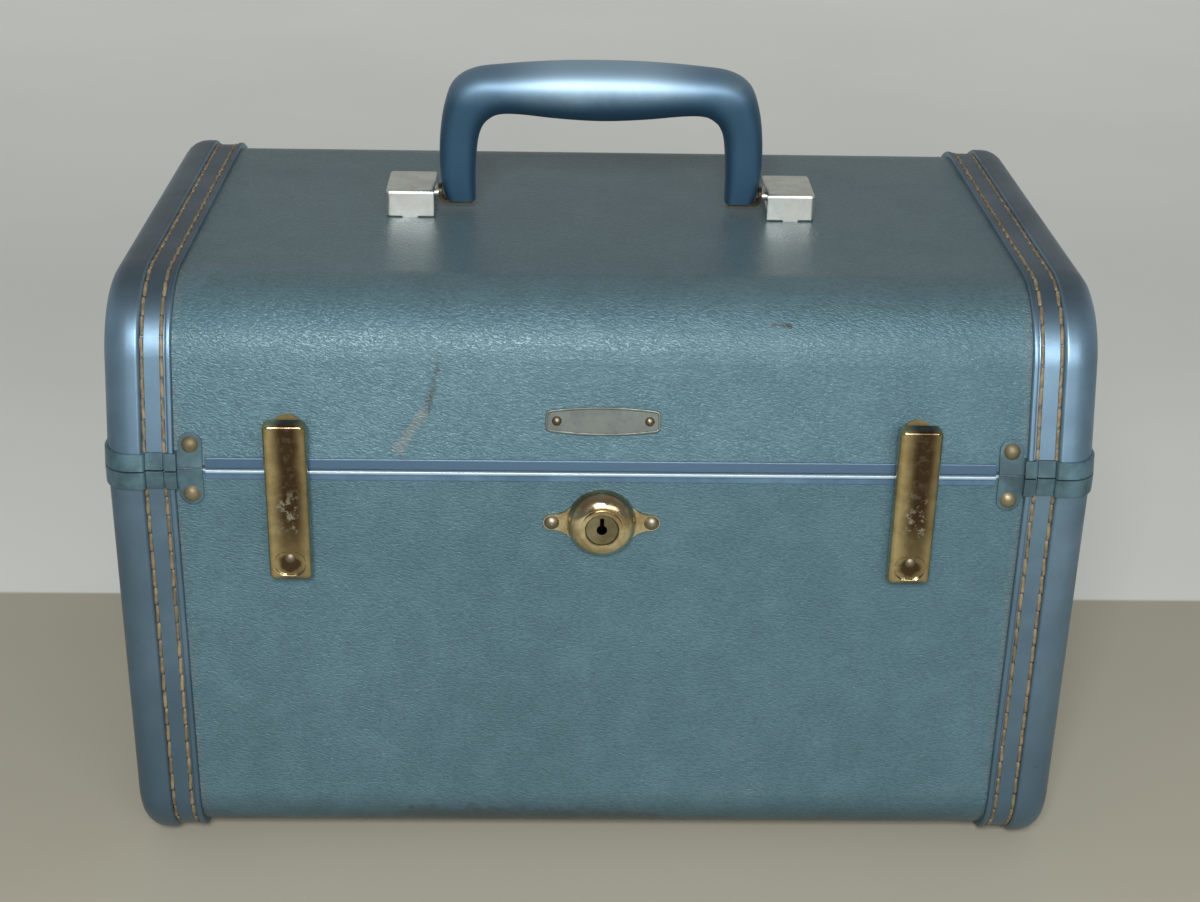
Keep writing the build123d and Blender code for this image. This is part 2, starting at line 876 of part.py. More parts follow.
with BuildPart() as latch_hook:
    lip_low = nose_top + hook_lip_gap
    with BuildSketch(latch_side) as hook_section:
        with BuildLine():
            Polyline(
                (hasp_inside - hook_gauge, hasp_rivet_z - 2.4),
                (hasp_inside, hasp_rivet_z - 2.4),
                (hasp_inside, lip_low + hook_gauge),
                (hasp_inside - hook_gauge - hook_reach, lip_low + hook_gauge),
                (hasp_inside - hook_gauge - hook_reach, lip_low),
                (hasp_inside - hook_gauge, lip_low),
                close=True,
            )
        make_face()
    extrude(amount=hook_width / 2, both=True)
    with BuildSketch(front_face.offset(hasp_inside - hook_gauge - 1)):
        with Locations((latch_x, hasp_rivet_z)):
            Circle(hasp_rivet_shank + running_clearance)
    extrude(amount=hook_gauge + 1, mode=Mode.SUBTRACT)
save_pair(latch_hook, "latch_hook")

hasp_rivet = dome_rivet(
    hasp_rivet_radius,
    small_rivet_height,
    hasp_front - dish_depth,
    hook_gauge - hasp_inside,
    hasp_rivet_shank,
)
save_pair(
    rivet_group(hasp_rivet, [(front_face, [(latch_x, hasp_rivet_z)])]), "latch_hasp_rivet"
)

with BuildPart() as latch_pin:
    with BuildSketch(latch_side):
        with Locations((latch_pin_out, -hasp_pin_drop)):
            Circle(latch_pin_radius)
    extrude(amount=hasp_width / 2 - 0.1, both=True)
save_pair(latch_pin, "latch_pin")

with BuildPart() as latch_base:
    with BuildSketch(front_face):
        with Locations((latch_x, -(latch_base_top + hasp_pin_drop) / 2)):
            Rectangle(latch_base_width, hasp_pin_drop - latch_base_top)
        with Locations(*[(x, z) for x, z in latch_base_spots if x > 0]):
            Circle(rivet_hole, mode=Mode.SUBTRACT)
    extrude(amount=latch_base_gauge)
    for edge in (-1, 1):
        ear_middle = edge * (latch_base_width - latch_ear_gauge) / 2
        with BuildSketch(latch_side.offset(ear_middle)):
            with BuildLine():
                Polyline(
                    (0, -hasp_pin_drop),
                    (latch_pin_out, -hasp_pin_drop),
                    (latch_pin_out + latch_ear_radius, -hasp_pin_drop),
                    (latch_base_gauge, latch_ear_rise - hasp_pin_drop),
                    (0, latch_ear_rise - hasp_pin_drop),
                    close=True,
                )
            make_face()
            with Locations((latch_pin_out, -hasp_pin_drop)):
                Circle(latch_ear_radius)
                Circle(latch_pin_radius + running_clearance, mode=Mode.SUBTRACT)
        extrude(amount=latch_ear_gauge / 2, both=True)
save_pair(latch_base, "latch_base")

with BuildPart() as latch_spring:
    spring_foot = latch_base_gauge
    with BuildSketch(latch_side):
        with BuildLine():
            Polyline(
                (spring_foot, -spring_top),
                (spring_foot + spring_gauge, -spring_top),
                (spring_foot + spring_gauge, -spring_bend),
                (spring_foot + spring_gauge + spring_lift, -spring_tip),
                (spring_foot + spring_lift, -spring_tip - spring_gauge),
                (spring_foot, -spring_bend - spring_gauge),
                close=True,
            )
        make_face()
    extrude(amount=spring_width / 2, both=True)
save_pair(latch_spring, "latch_spring")


def on_lid_front(height, out):
    """A point on the lid's leaning front, out from its panel, in a latch's section."""
    return (out / slant - slope * height, height)


with BuildPart() as latch_keeper:
    keeper_middle = keeper_top - keeper_width / 2
    with BuildSketch(lid_front_face):
        with Locations((latch_x, (keeper_foot + keeper_middle) / 2)):
            Rectangle(keeper_width, keeper_middle - keeper_foot)
        with Locations((latch_x, keeper_middle)):
            Circle(keeper_width / 2)
        with Locations(*[(x, z) for x, z in keeper_spots if x > 0]):
            Circle(rivet_hole, mode=Mode.SUBTRACT)
    extrude(amount=keeper_gauge)
    with BuildSketch(latch_side):
        with BuildLine():
            Polyline(
                on_lid_front(nose_top - nose_height, keeper_gauge / 2),
                (nose_reach, nose_top - nose_height / 2),
                (nose_reach, nose_top),
                on_lid_front(nose_top, keeper_gauge / 2),
                close=True,
            )
        make_face()
    extrude(amount=nose_width / 2, both=True)
save_pair(latch_keeper, "latch_keeper")

# The lock. Its sections are drawn across from the key's axis and inwards from the panel.

lock_section = Plane(origin=(0, front, lock_z), x_dir=(1, 0, 0), z_dir=(0, 0, 1))
lock_axis = Axis((0, front, lock_z), (0, 1, 0))
lock_face = Plane(origin=(0, front, lock_z), x_dir=(1, 0, 0), z_dir=(0, -1, 0))
barrel_hole = barrel_radius + running_clearance
escutcheon_top = escutcheon_gauge + escutcheon_rise

with BuildPart() as lock_escutcheon:
    with BuildSketch(lock_face) as lock_plan:
        Circle(escutcheon_radius)
        with Locations((0, 0)):
            Rectangle(lug_spacing, 2 * lug_radius)
        join = lock_plan.vertices().filter_by(lambda v: abs(v.X) < lug_spacing / 2 - 1)
        fillet(join, lug_neck)
        with Locations(*both_sides(lug_spacing / 2, 0)):
            Circle(lug_radius)
            Circle(lock_rivet_shank + running_clearance, mode=Mode.SUBTRACT)
    extrude(amount=escutcheon_gauge)
    with BuildSketch(lock_section):
        with BuildLine():
            Polyline(
                (escutcheon_radius, 0),
                (0, 0),
                (0, -escutcheon_top),
                (barrel_rim_radius, -escutcheon_top),
            )
            ThreePointArc(
                (barrel_rim_radius, -escutcheon_top),
                (
                    (barrel_rim_radius + 2 * escutcheon_radius) / 3,
                    -escutcheon_gauge - 0.66 * escutcheon_rise,
                ),
                (escutcheon_radius, -escutcheon_gauge),
            )
            Line((escutcheon_radius, -escutcheon_gauge), (escutcheon_radius, 0))
        make_face()
    revolve(axis=lock_axis)
    with BuildSketch(lock_face):
        Circle(barrel_hole)
    extrude(amount=2 * escutcheon_top, mode=Mode.SUBTRACT)
save(lock_escutcheon, "lock_escutcheon")

with BuildPart() as lock_barrel:
    with BuildSketch(lock_section):
        with BuildLine():
            Polyline(
                (plug_radius + running_clearance, plug_bevel - barrel_stand),
                (plug_radius + running_clearance + plug_bevel, -barrel_stand),
                (barrel_rim_radius, -barrel_stand),
                (barrel_rim_radius, -escutcheon_top - running_clearance),
                (barrel_radius, -escutcheon_top - running_clearance),
                (barrel_radius, barrel_length_inside),
                (plug_radius + running_clearance, barrel_length_inside),
                close=True,
            )
        make_face()
    revolve(axis=lock_axis)
save(lock_barrel, "lock_barrel")

with BuildPart() as lock_nut:
    with BuildSketch(lock_face.offset(-inner_gauge)):
        RegularPolygon(nut_radius, 6)
        Circle(barrel_hole, mode=Mode.SUBTRACT)
    extrude(amount=-nut_gauge)
save(lock_nut, "lock_nut")

cam_start = barrel_length_inside + slot_clearance
bolt_start = inner_gauge + case_depth - case_gauge - bolt_play - bolt_gauge
throw_side = cam_pin_throw * sin(radians(45))

with BuildPart() as lock_cylinder:
    with BuildSketch(lock_face.offset(barrel_stand - plug_sink)):
        Circle(plug_radius)
    extrude(amount=-(barrel_stand - plug_sink + cam_start))
    chamfer(lock_cylinder.edges().sort_by(Axis.Y)[0], plug_bevel)
    with BuildSketch(lock_face.offset(-cam_start)):
        Circle(cam_radius)
    extrude(amount=-cam_gauge)
    with BuildSketch(lock_face.offset(-cam_start)):
        with Locations((-throw_side, -throw_side)):
            Circle(cam_pin_radius)
    extrude(amount=-(bolt_start + bolt_gauge - cam_start))
    with BuildSketch(lock_face.offset(barrel_stand - plug_sink - keyhole_depth)):
        Circle(key_round_radius)
        with Locations((0, key_slot_height / 2)):
            Rectangle(key_slot_width, key_slot_height)
    extrude(amount=keyhole_depth + 1, mode=Mode.SUBTRACT)
save(lock_cylinder, "lock_cylinder")

case_low = -case_top_drop - case_height
with BuildPart() as lock_case:
    with BuildSketch(front_face.offset(-inner_gauge)):
        with Locations((0, -case_top_drop - case_height / 2)):
            Rectangle(case_width, case_height)
    extrude(amount=-case_depth)
    with BuildSketch(front_face.offset(-inner_gauge)):
        with Locations((0, -lock_drop)):
            Rectangle(case_width + 2 * case_flange, case_flange_height)
    extrude(amount=-case_gauge)
    with BuildSketch(front_face.offset(-inner_gauge)):
        with Locations((0, -case_top_drop - case_height / 2)):
            Rectangle(case_width - 2 * case_gauge, case_height - 2 * case_gauge)
    extrude(amount=-(case_depth - case_gauge), mode=Mode.SUBTRACT)
    with BuildSketch(front_face.offset(-inner_gauge)):
        with Locations(*lock_spots):
            Circle(lock_rivet_shank + running_clearance)
    extrude(amount=-2 * case_gauge, mode=Mode.SUBTRACT)
    with BuildSketch(Plane.XY.offset(closing - case_top_drop)):
        with Locations((striker_x, front + bolt_start + striker_gauge / 2)):
            Rectangle(striker_width + 1.2, striker_gauge + 1.6)
    extrude(amount=-2 * case_gauge, mode=Mode.SUBTRACT)
save(lock_case, "lock_case")

bolt_travel = 2 * throw_side
bolt_edge = case_width / 2 - case_gauge - 2 * bolt_play
finger_tip = striker_left - 2 * bolt_play
finger_top = -striker_notch_drop - bolt_play
finger_low = finger_top - striker_notch_height + 2 * bolt_play
bolt_waist = -striker_drop - 2 * bolt_play
bolt_low = -lock_drop - cam_pin_throw - 3 * cam_pin_radius
slot_height = cam_pin_throw - throw_side + 2 * (cam_pin_radius + bolt_play)
with BuildPart() as lock_bolt:
    with BuildSketch(front_face.offset(-bolt_start)):
        with BuildLine():
            Polyline(
                (-bolt_edge, bolt_low),
                (bolt_edge - bolt_travel, bolt_low),
                (bolt_edge - bolt_travel, bolt_waist),
                (finger_tip - bolt_travel, bolt_waist),
                (finger_tip - bolt_travel, finger_low),
                (finger_tip, finger_low),
                (finger_tip, finger_top),
                (-bolt_edge, finger_top),
                close=True,
            )
        make_face()
        with Locations((-throw_side, -lock_drop - (throw_side + cam_pin_throw) / 2)):
            Rectangle(2 * (cam_pin_radius + bolt_play), slot_height, mode=Mode.SUBTRACT)
    extrude(amount=-bolt_gauge)
save(lock_bolt, "lock_bolt")

inside_face = lined_gauge / slant
striker_side = Plane(origin=(striker_x, front, closing), x_dir=(0, 1, 0), z_dir=(1, 0, 0))
with BuildPart() as lock_striker:
    plate_in = striker_gauge / slant
    with BuildSketch(striker_side):
        with BuildLine():
            Polyline(
                (inside_face + slope * striker_bridge, striker_bridge),
                (inside_face + slope * striker_plate_top, striker_plate_top),
                (inside_face + plate_in + slope * striker_plate_top, striker_plate_top),
                (
                    inside_face + plate_in + slope * (striker_bridge + striker_gauge),
                    striker_bridge + striker_gauge,
                ),
                (bolt_start + striker_gauge, striker_bridge + striker_gauge),
                (bolt_start + striker_gauge, -striker_drop),
                (bolt_start, -striker_drop),
                (bolt_start, striker_bridge),
                close=True,
            )
        make_face()
    extrude(amount=striker_width / 2, both=True)
    with BuildSketch(front_face.offset(-bolt_start + 1)):
        with Locations(
            (
                striker_left + striker_notch_depth / 2 - 0.5,
                -striker_notch_drop - striker_notch_height / 2,
            )
        ):
            Rectangle(striker_notch_depth + 1, striker_notch_height)
    extrude(amount=-(striker_gauge + 2), mode=Mode.SUBTRACT)
    drill_for_striker()
save(lock_striker, "lock_striker")

lock_rivet = dome_rivet(
    lock_rivet_radius,
    lock_rivet_height,
    escutcheon_gauge,
    inner_gauge + case_gauge,
    lock_rivet_shank,
)
save(rivet_group(lock_rivet, [(front_face, lock_spots)]), "lock_rivets")

# Small rivets that hold the fittings to the wooden walls

base_rivet = dome_rivet(
    small_rivet_radius, small_rivet_height, latch_base_gauge, inner_gauge, rivet_shank_radius
)
leaf_rivet = dome_rivet(
    small_rivet_radius, small_rivet_height, leaf_gauge, inner_gauge, rivet_shank_radius
)
keeper_rivet = dome_rivet(
    small_rivet_radius, small_rivet_height, keeper_gauge, inner_gauge, rivet_shank_radius
)

with BuildPart() as body_fixing_rivets:
    add(rivet_group(base_rivet, [(front_face, latch_base_spots)]).part)
    add(rivet_group(leaf_rivet, [(back_face, body_leaf_spots)]).part)
save(body_fixing_rivets, "body_fixing_rivets")

striker_pin = dome_rivet(
    small_rivet_radius, small_rivet_height, 0.0, striker_pin_length, rivet_shank_radius
)

with BuildPart() as lid_fixing_rivets:
    add(rivet_group(keeper_rivet, [(lid_front_face, keeper_spots)]).part)
    add(rivet_group(striker_pin, [(striker_inside, striker_spots)]).part)
    add(rivet_group(leaf_rivet, [(lid_back_face, lid_leaf_spots)]).part)
save(lid_fixing_rivets, "lid_fixing_rivets")

# Nameplate, bare

plate_face = Plane(
    origin=lid_front_face.from_local_coords((0, plate_height, 0)),
    x_dir=lid_front_face.x_dir,
    z_dir=lid_front_face.z_dir,
)


def plate_outline(inset):
    """The nameplate's outline: short straight ends and bowed long edges."""
    half_length = plate_length / 2 - inset
    half_end = plate_end_height / 2 - inset
    bow = half_end + plate_bow
    with BuildSketch() as outline:
        with BuildLine():
            ThreePointArc((-half_length, half_end), (0, bow), (half_length, half_end))
            Line((half_length, half_end), (half_length, -half_end))
            ThreePointArc((half_length, -half_end), (0, -bow), (-half_length, -half_end))
            Line((-half_length, -half_end), (-half_length, half_end))
        make_face()
        fillet(outline.vertices(), half_end / 2)
    return outline.sketch


with BuildPart() as nameplate:
    with BuildSketch(plate_face):
        add(plate_outline(0))
    extrude(amount=plate_gauge)
    with BuildSketch(plate_face.offset(plate_gauge - plate_field_depth)):
        add(plate_outline(plate_rim))
    extrude(amount=2 * plate_field_depth, mode=Mode.SUBTRACT)
    pierce(lid_front_face.offset(plate_gauge), plate_spots, rivet_hole, 2 * plate_gauge)
save(nameplate, "nameplate")

plate_pin = dome_rivet(
    plate_pin_radius,
    small_rivet_height,
    plate_gauge - plate_field_depth,
    inner_gauge,
    rivet_shank_radius,
)
save(rivet_group(plate_pin, [(lid_front_face, plate_spots)]), "nameplate_pins")

# Handle. Each section runs from a point on its underside to one on its outside,
# across from the handle's middle and up from the lid.

grip_sections = [
    ((48.4, 4.0), (59.2, 4.0), 10.6, 3.0),
    ((48.4, 9.0), (60.9, 9.0), 12.2, 3.4),
    ((48.2, 17.0), (61.9, 17.0), 14.2, 4.0),
    ((47.2, 27.5), (61.7, 29.5), 16.5, 5.0),
    ((45.4, 33.2), (60.0, 41.0), 18.6, 6.6),
    ((42.6, 36.3), (56.4, 49.8), 20.2, 8.2),
    ((38.6, 37.9), (48.6, 54.7), 21.2, 9.0),
    ((31.0, 37.8), (36.0, 56.6), 22.0, 9.5),
    ((16.6, 36.4), (18.0, 57.9), 23.0, 10.4),
    ((0.0, 35.6), (0.0, 58.3), 23.4, 11.0),
]
grip_steps = 4  # cuts from one of these sections to the next
handle_foot = Plane.XY.offset(lid_top + link_foot_height + link_gauge)
handle_end = Plane(origin=(0, handle_y, lid_top), x_dir=(1, 0, 0), z_dir=(0, -1, 0))
pivot_side = Plane(origin=(0, handle_y, pivot_z), x_dir=(0, 1, 0), z_dir=(1, 0, 0))
screw_spots = both_sides(screw_x, handle_y)
link_eye_outer = link_eye_inner + link_gauge
link_top = handle_pivot_height + link_width / 2
pin_end = bracket_x + bearing_spacing / 2 + bearing_gauge / 2 + slot_clearance


def between(before, start, stop, after, part):
    """A value part of the way from start to stop, on a smooth curve through all four."""
    bend = 2 * before - 5 * start + 4 * stop - after
    twist = 3 * (start - stop) + after - before
    return start + part / 2 * (stop - before + part * (bend + part * twist))


def grip_stations():
    """Sections all along the handle, from its left foot to its right foot."""
    half = [(ix, iz, ox, oz, depth, rnd) for (ix, iz), (ox, oz), depth, rnd in grip_sections]
    left = [(-ix, iz, -ox, oz, depth, rnd) for ix, iz, ox, oz, depth, rnd in half[:-1]]
    given = left + half[::-1]
    padded = [given[0]] + given + [given[-1]]
    stations = [given[0]]
    for four in zip(padded, padded[1:], padded[2:], padded[3:]):
        for step in range(1, grip_steps + 1):
            stations.append([between(*values, step / grip_steps) for values in zip(*four)])
    return stations


with BuildPart() as handle_grip:
    for inner_x, inner_up, outer_x, outer_up, depth, rounding in grip_stations():
        across = Vector(outer_x - inner_x, 0, outer_up - inner_up)
        middle = ((inner_x + outer_x) / 2, handle_y, lid_top + (inner_up + outer_up) / 2)
        with BuildSketch(Plane(middle, across, across.cross(Vector(0, 1, 0)))):
            RectangleRounded(across.length, depth, rounding)
    loft(ruled=True)
    with BuildSketch(handle_foot):
        with Locations(*screw_spots):
            Circle(screw_shank_radius + running_clearance)
    extrude(amount=screw_length - link_gauge, mode=Mode.SUBTRACT)
save(handle_grip, "handle_grip")

with BuildPart() as handle_link:
    with BuildSketch(handle_end) as link_section:
        with BuildLine():
            Polyline(
                (link_foot_inner, link_foot_height),
                (link_eye_outer, link_foot_height),
                (link_eye_outer, link_top),
                (link_eye_inner, link_top),
                (link_eye_inner, link_foot_height + link_gauge),
                (link_foot_inner, link_foot_height + link_gauge),
                close=True,
            )
        make_face()
        for corner, radius in (
            ((link_eye_outer, link_foot_height), link_bend + link_gauge),
            ((link_eye_inner, link_foot_height + link_gauge), link_bend),
        ):
            fillet(link_section.vertices().sort_by_distance(corner)[0], radius)
    extrude(amount=link_width / 2, both=True)
    eye_edges = handle_link.edges().filter_by(Axis.X).group_by(Axis.Z)[-1]
    fillet(eye_edges, 0.4 * link_width)
    with BuildSketch(pivot_side):
        Circle(handle_pin_radius + running_clearance)
    extrude(amount=2 * link_eye_outer, mode=Mode.SUBTRACT)
    with BuildSketch(handle_foot):
        with Locations((screw_x, handle_y)):
            Circle(screw_shank_radius + running_clearance)
    extrude(amount=-2 * link_gauge, mode=Mode.SUBTRACT)
save_pair(handle_link, "handle_link")

handle_screw = dome_rivet(
    screw_head_radius, screw_head_height, 0.0, screw_length - link_gauge, screw_shank_radius
)
link_underside = Plane(
    origin=(0, 0, lid_top + link_foot_height), x_dir=(1, 0, 0), z_dir=(0, 0, -1)
)
screws_below = [(x, -y) for x, y in screw_spots]
save(rivet_group(handle_screw, [(link_underside, screws_below)]), "handle_screws")

with BuildPart() as handle_pins:
    with BuildSketch(pivot_side.offset(link_eye_inner)):
        Circle(handle_pin_radius)
    extrude(amount=pin_end - link_eye_inner)
    with BuildSketch(pivot_side.offset(pin_end)):
        Circle(bearing_radius - bearing_gauge / 4)
    extrude(amount=bearing_gauge / 2)
    mirror(handle_pins.part, about=Plane.YZ)
save(handle_pins, "handle_pins")

with BuildPart() as handle_bases:
    with BuildSketch(lid_top_face):
        with Locations(*both_sides(bracket_x, handle_y)):
            Rectangle(bracket_width - 2 * base_inset, bracket_depth - 2 * base_inset)
        with Locations(*handle_rivet_spots):
            Circle(rivet_hole, mode=Mode.SUBTRACT)
    extrude(amount=base_gauge)
    for side in (-1, 1):
        for offset in (-bearing_spacing / 2, bearing_spacing / 2):
            with BuildSketch(pivot_side.offset(side * bracket_x + offset)):
                with Locations((0, -handle_pivot_height / 2)):
                    Rectangle(2 * bearing_radius, handle_pivot_height)
                Circle(bearing_radius)
                Circle(handle_pin_radius + running_clearance, mode=Mode.SUBTRACT)
            extrude(amount=bearing_gauge / 2, both=True)
save(handle_bases, "handle_bases")

handle_rivet = dome_rivet(
    small_rivet_radius, small_rivet_height, base_gauge, inner_gauge, rivet_shank_radius
)
save(rivet_group(handle_rivet, [(lid_top_face, handle_rivet_spots)]), "handle_rivets")

with BuildPart() as handle_bracket:
    with BuildSketch(lid_top_face):
        with Locations((bracket_x, handle_y)):
            Rectangle(bracket_width, bracket_depth)
    extrude(amount=bracket_height)
    far_edges = handle_bracket.edges().filter_by(Axis.Z).group_by(Axis.X)[-1]
    fillet(far_edges, bracket_round)
    fillet(handle_bracket.faces().sort_by(Axis.Z)[-1].edges(), bracket_edge_round)
    with BuildSketch(lid_top_face):
        with Locations((bracket_x - bracket_gauge, handle_y)):
            Rectangle(bracket_width, bracket_depth - 2 * bracket_gauge)
    extrude(amount=bracket_height - bracket_gauge, mode=Mode.SUBTRACT)
    with BuildSketch(lid_top_face):
        with Locations(*[(x, y) for x, y in bracket_tab_spots if x > 0]):
            Rectangle(bracket_tab_width, bracket_gauge)
    extrude(amount=bracket_height / 2, both=True)
    with BuildSketch(lid_top_face.offset(bracket_standoff)):
        with Locations((bracket_x, handle_y)):
            Rectangle(2 * bracket_width, 2 * bracket_depth)
        with Locations(*[(x, y) for x, y in bracket_tab_spots if x > 0]):
            Rectangle(bracket_tab_width, bracket_gauge, mode=Mode.SUBTRACT)
    extrude(amount=-bracket_height, mode=Mode.SUBTRACT)
    keep_side(handle_bracket, lid_top - inner_gauge, Keep.TOP)
save_pair(handle_bracket, "handle_bracket")

# The lift-out tray on its two ledges

inside_end = box_end - wall_gauge - lining_gauge
tray_top = closing - tray_drop
tray_low = tray_top - tray_height
tray_half = box_end - tongue_inner - tray_end_clearance
tray_depth = panel_depth - 2 * (inner_gauge + case_depth + tray_side_clearance)

with BuildPart() as tray:
    with BuildSketch(Plane.XY.offset(tray_low)):
        RectangleRounded(2 * tray_half, tray_depth, tray_round)
    extrude(amount=tray_height)
    with BuildSketch(Plane.XY.offset(tray_low + tray_wall)):
        RectangleRounded(
            2 * (tray_half - tray_wall), tray_depth - 2 * tray_wall, tray_round - tray_wall
        )
        for side in (-1, 1):
            with Locations((side * tray_divider_x, 0)):
                Rectangle(tray_divider_gauge, tray_depth, mode=Mode.SUBTRACT)
    extrude(amount=tray_height, mode=Mode.SUBTRACT)
    with BuildSketch(Plane.XY.offset(tray_top - tray_divider_drop)):
        Rectangle(2 * tray_divider_x + 2 * tray_divider_gauge, tray_depth - 2 * tray_wall)
    extrude(amount=2 * tray_divider_drop, mode=Mode.SUBTRACT)
    with BuildSketch(Plane.YZ) as notch:
        with Locations((0, tray_top)):
            Rectangle(tray_grip_width, 2 * tray_grip_depth)
        fillet(notch.vertices().group_by(Axis.Y)[0], tray_grip_depth * 0.8)
    extrude(amount=2 * tray_half, both=True, mode=Mode.SUBTRACT)
save(tray, "tray")

with BuildPart() as tray_ledges:
    with BuildSketch(Plane.XY.offset(tray_low - tray_seat_gap)):
        with Locations(*both_sides(inside_end - ledge_width / 2, 0)):
            Rectangle(ledge_width, tray_depth - 2 * ledge_inset)
    extrude(amount=-ledge_height)
save(tray_ledges, "tray_ledges")

# The mirror inside the lid

inside_top = Plane.XY.offset(lid_top - lined_gauge)
lid_half_depth = panel_depth / 2 - slope * lid_height
lid_flat_half = lid_half_depth - lid_round * tan(radians(45 - lid_lean / 2))
mirror_depth = 2 * (lid_flat_half - mirror_side_margin - mirror_frame_edge)
with BuildPart() as lid_mirror:
    with BuildSketch(inside_top):
        RectangleRounded(mirror_length, mirror_depth, mirror_round)
    extrude(amount=-mirror_gauge)
save(lid_mirror, "lid_mirror")

with BuildPart() as lid_mirror_frame:
    with BuildSketch(inside_top):
        RectangleRounded(
            mirror_length + 2 * mirror_frame_edge,
            mirror_depth + 2 * mirror_frame_edge,
            mirror_round + mirror_frame_edge,
        )
    extrude(amount=-mirror_frame_gauge)
    with BuildSketch(inside_top):
        RectangleRounded(
            mirror_length + 2 * mirror_clearance,
            mirror_depth + 2 * mirror_clearance,
            mirror_round + mirror_clearance,
        )
    extrude(amount=-mirror_gauge, mode=Mode.SUBTRACT)
    with BuildSketch(inside_top):
        RectangleRounded(
            mirror_length - 2 * mirror_overlap,
            mirror_depth - 2 * mirror_overlap,
            mirror_round - mirror_overlap,
        )
    extrude(amount=-2 * mirror_frame_gauge, mode=Mode.SUBTRACT)
save(lid_mirror_frame, "lid_mirror_frame")
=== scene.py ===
import json
from math import copysign, cos, pi, radians, sin, tan

import bmesh
import bpy
from mathutils import Matrix, Vector

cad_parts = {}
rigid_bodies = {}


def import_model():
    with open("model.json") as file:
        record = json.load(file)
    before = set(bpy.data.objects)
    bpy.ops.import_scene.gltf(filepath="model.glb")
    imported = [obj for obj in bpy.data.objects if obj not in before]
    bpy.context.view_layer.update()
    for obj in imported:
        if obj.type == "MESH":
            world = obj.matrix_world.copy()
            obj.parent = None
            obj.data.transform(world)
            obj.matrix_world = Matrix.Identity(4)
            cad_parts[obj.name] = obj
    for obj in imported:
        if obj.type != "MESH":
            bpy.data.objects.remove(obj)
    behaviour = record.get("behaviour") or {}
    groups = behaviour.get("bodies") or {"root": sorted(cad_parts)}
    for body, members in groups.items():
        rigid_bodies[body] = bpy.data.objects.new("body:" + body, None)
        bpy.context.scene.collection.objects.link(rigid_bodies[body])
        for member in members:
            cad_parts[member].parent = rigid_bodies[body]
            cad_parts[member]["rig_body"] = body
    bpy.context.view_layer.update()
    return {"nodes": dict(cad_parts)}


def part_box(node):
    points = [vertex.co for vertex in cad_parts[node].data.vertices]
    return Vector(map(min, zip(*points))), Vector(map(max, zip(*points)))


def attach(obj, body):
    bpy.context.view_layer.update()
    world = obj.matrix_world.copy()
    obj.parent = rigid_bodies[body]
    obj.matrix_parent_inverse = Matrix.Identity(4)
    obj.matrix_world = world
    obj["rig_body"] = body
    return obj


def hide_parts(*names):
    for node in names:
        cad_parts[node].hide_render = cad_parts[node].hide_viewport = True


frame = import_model()

# The camera stands in front of the case, a little left of its middle and above it,
# looking down at the front. Its roll is the photograph's own slight tilt.

camera_place = Vector((-0.0180, -0.7352, 0.4620))
camera_forward = Vector((0.02455, 0.90552, -0.42360)).normalized()
camera_right = Vector((0.99965, -0.01847, 0.01845)).normalized()
focal_pixels = 1967.3
image_width = 1200
sensor_width = 36.0
nearest_seen = 0.01

camera_data = bpy.data.cameras.new("camera")
camera_data.sensor_width = sensor_width
camera_data.lens = focal_pixels * sensor_width / image_width
camera_data.clip_start = nearest_seen
camera = bpy.data.objects.new("camera", camera_data)
camera_up = camera_right.cross(camera_forward)
turn = Matrix((camera_right, camera_up, -camera_forward)).transposed()
camera.matrix_world = Matrix.Translation(camera_place) @ turn.to_4x4()
bpy.context.scene.collection.objects.link(camera)
bpy.context.scene.camera = camera
bpy.context.scene.view_settings.view_transform = "Standard"

# The table and the wall behind it are one plain pale floor in two quiet tones, lifted a
# little where it is seen or mirrored. A large soft box in front lights the case evenly, a
# smaller one above it draws the gloss, and the surround is pale behind and dimmer in front.

table_colour = (0.37, 0.35, 0.28, 1.0)
wall_colour = (0.60, 0.61, 0.58, 1.0)
surround_back = (0.80, 0.81, 0.79, 1.0)
surround_front = (0.26, 0.27, 0.28, 1.0)
surround_strength = 0.5
front_side = -0.7
back_side = 0.4
table_edge = 0.088
edge_softness = 0.0015
floor_half = 3.0
near_lift = 0.10
far_lift = 0.42
far_off = 1.6
table_share = 0.2


def srgb(red, green, blue):
    """A colour given as 0 to 255 on a screen, as linear values."""
    scaled = [value / 255 for value in (red, green, blue)]
    return [v / 12.92 if v < 0.04045 else ((v + 0.055) / 1.055) ** 2.4 for v in scaled] + [1.0]


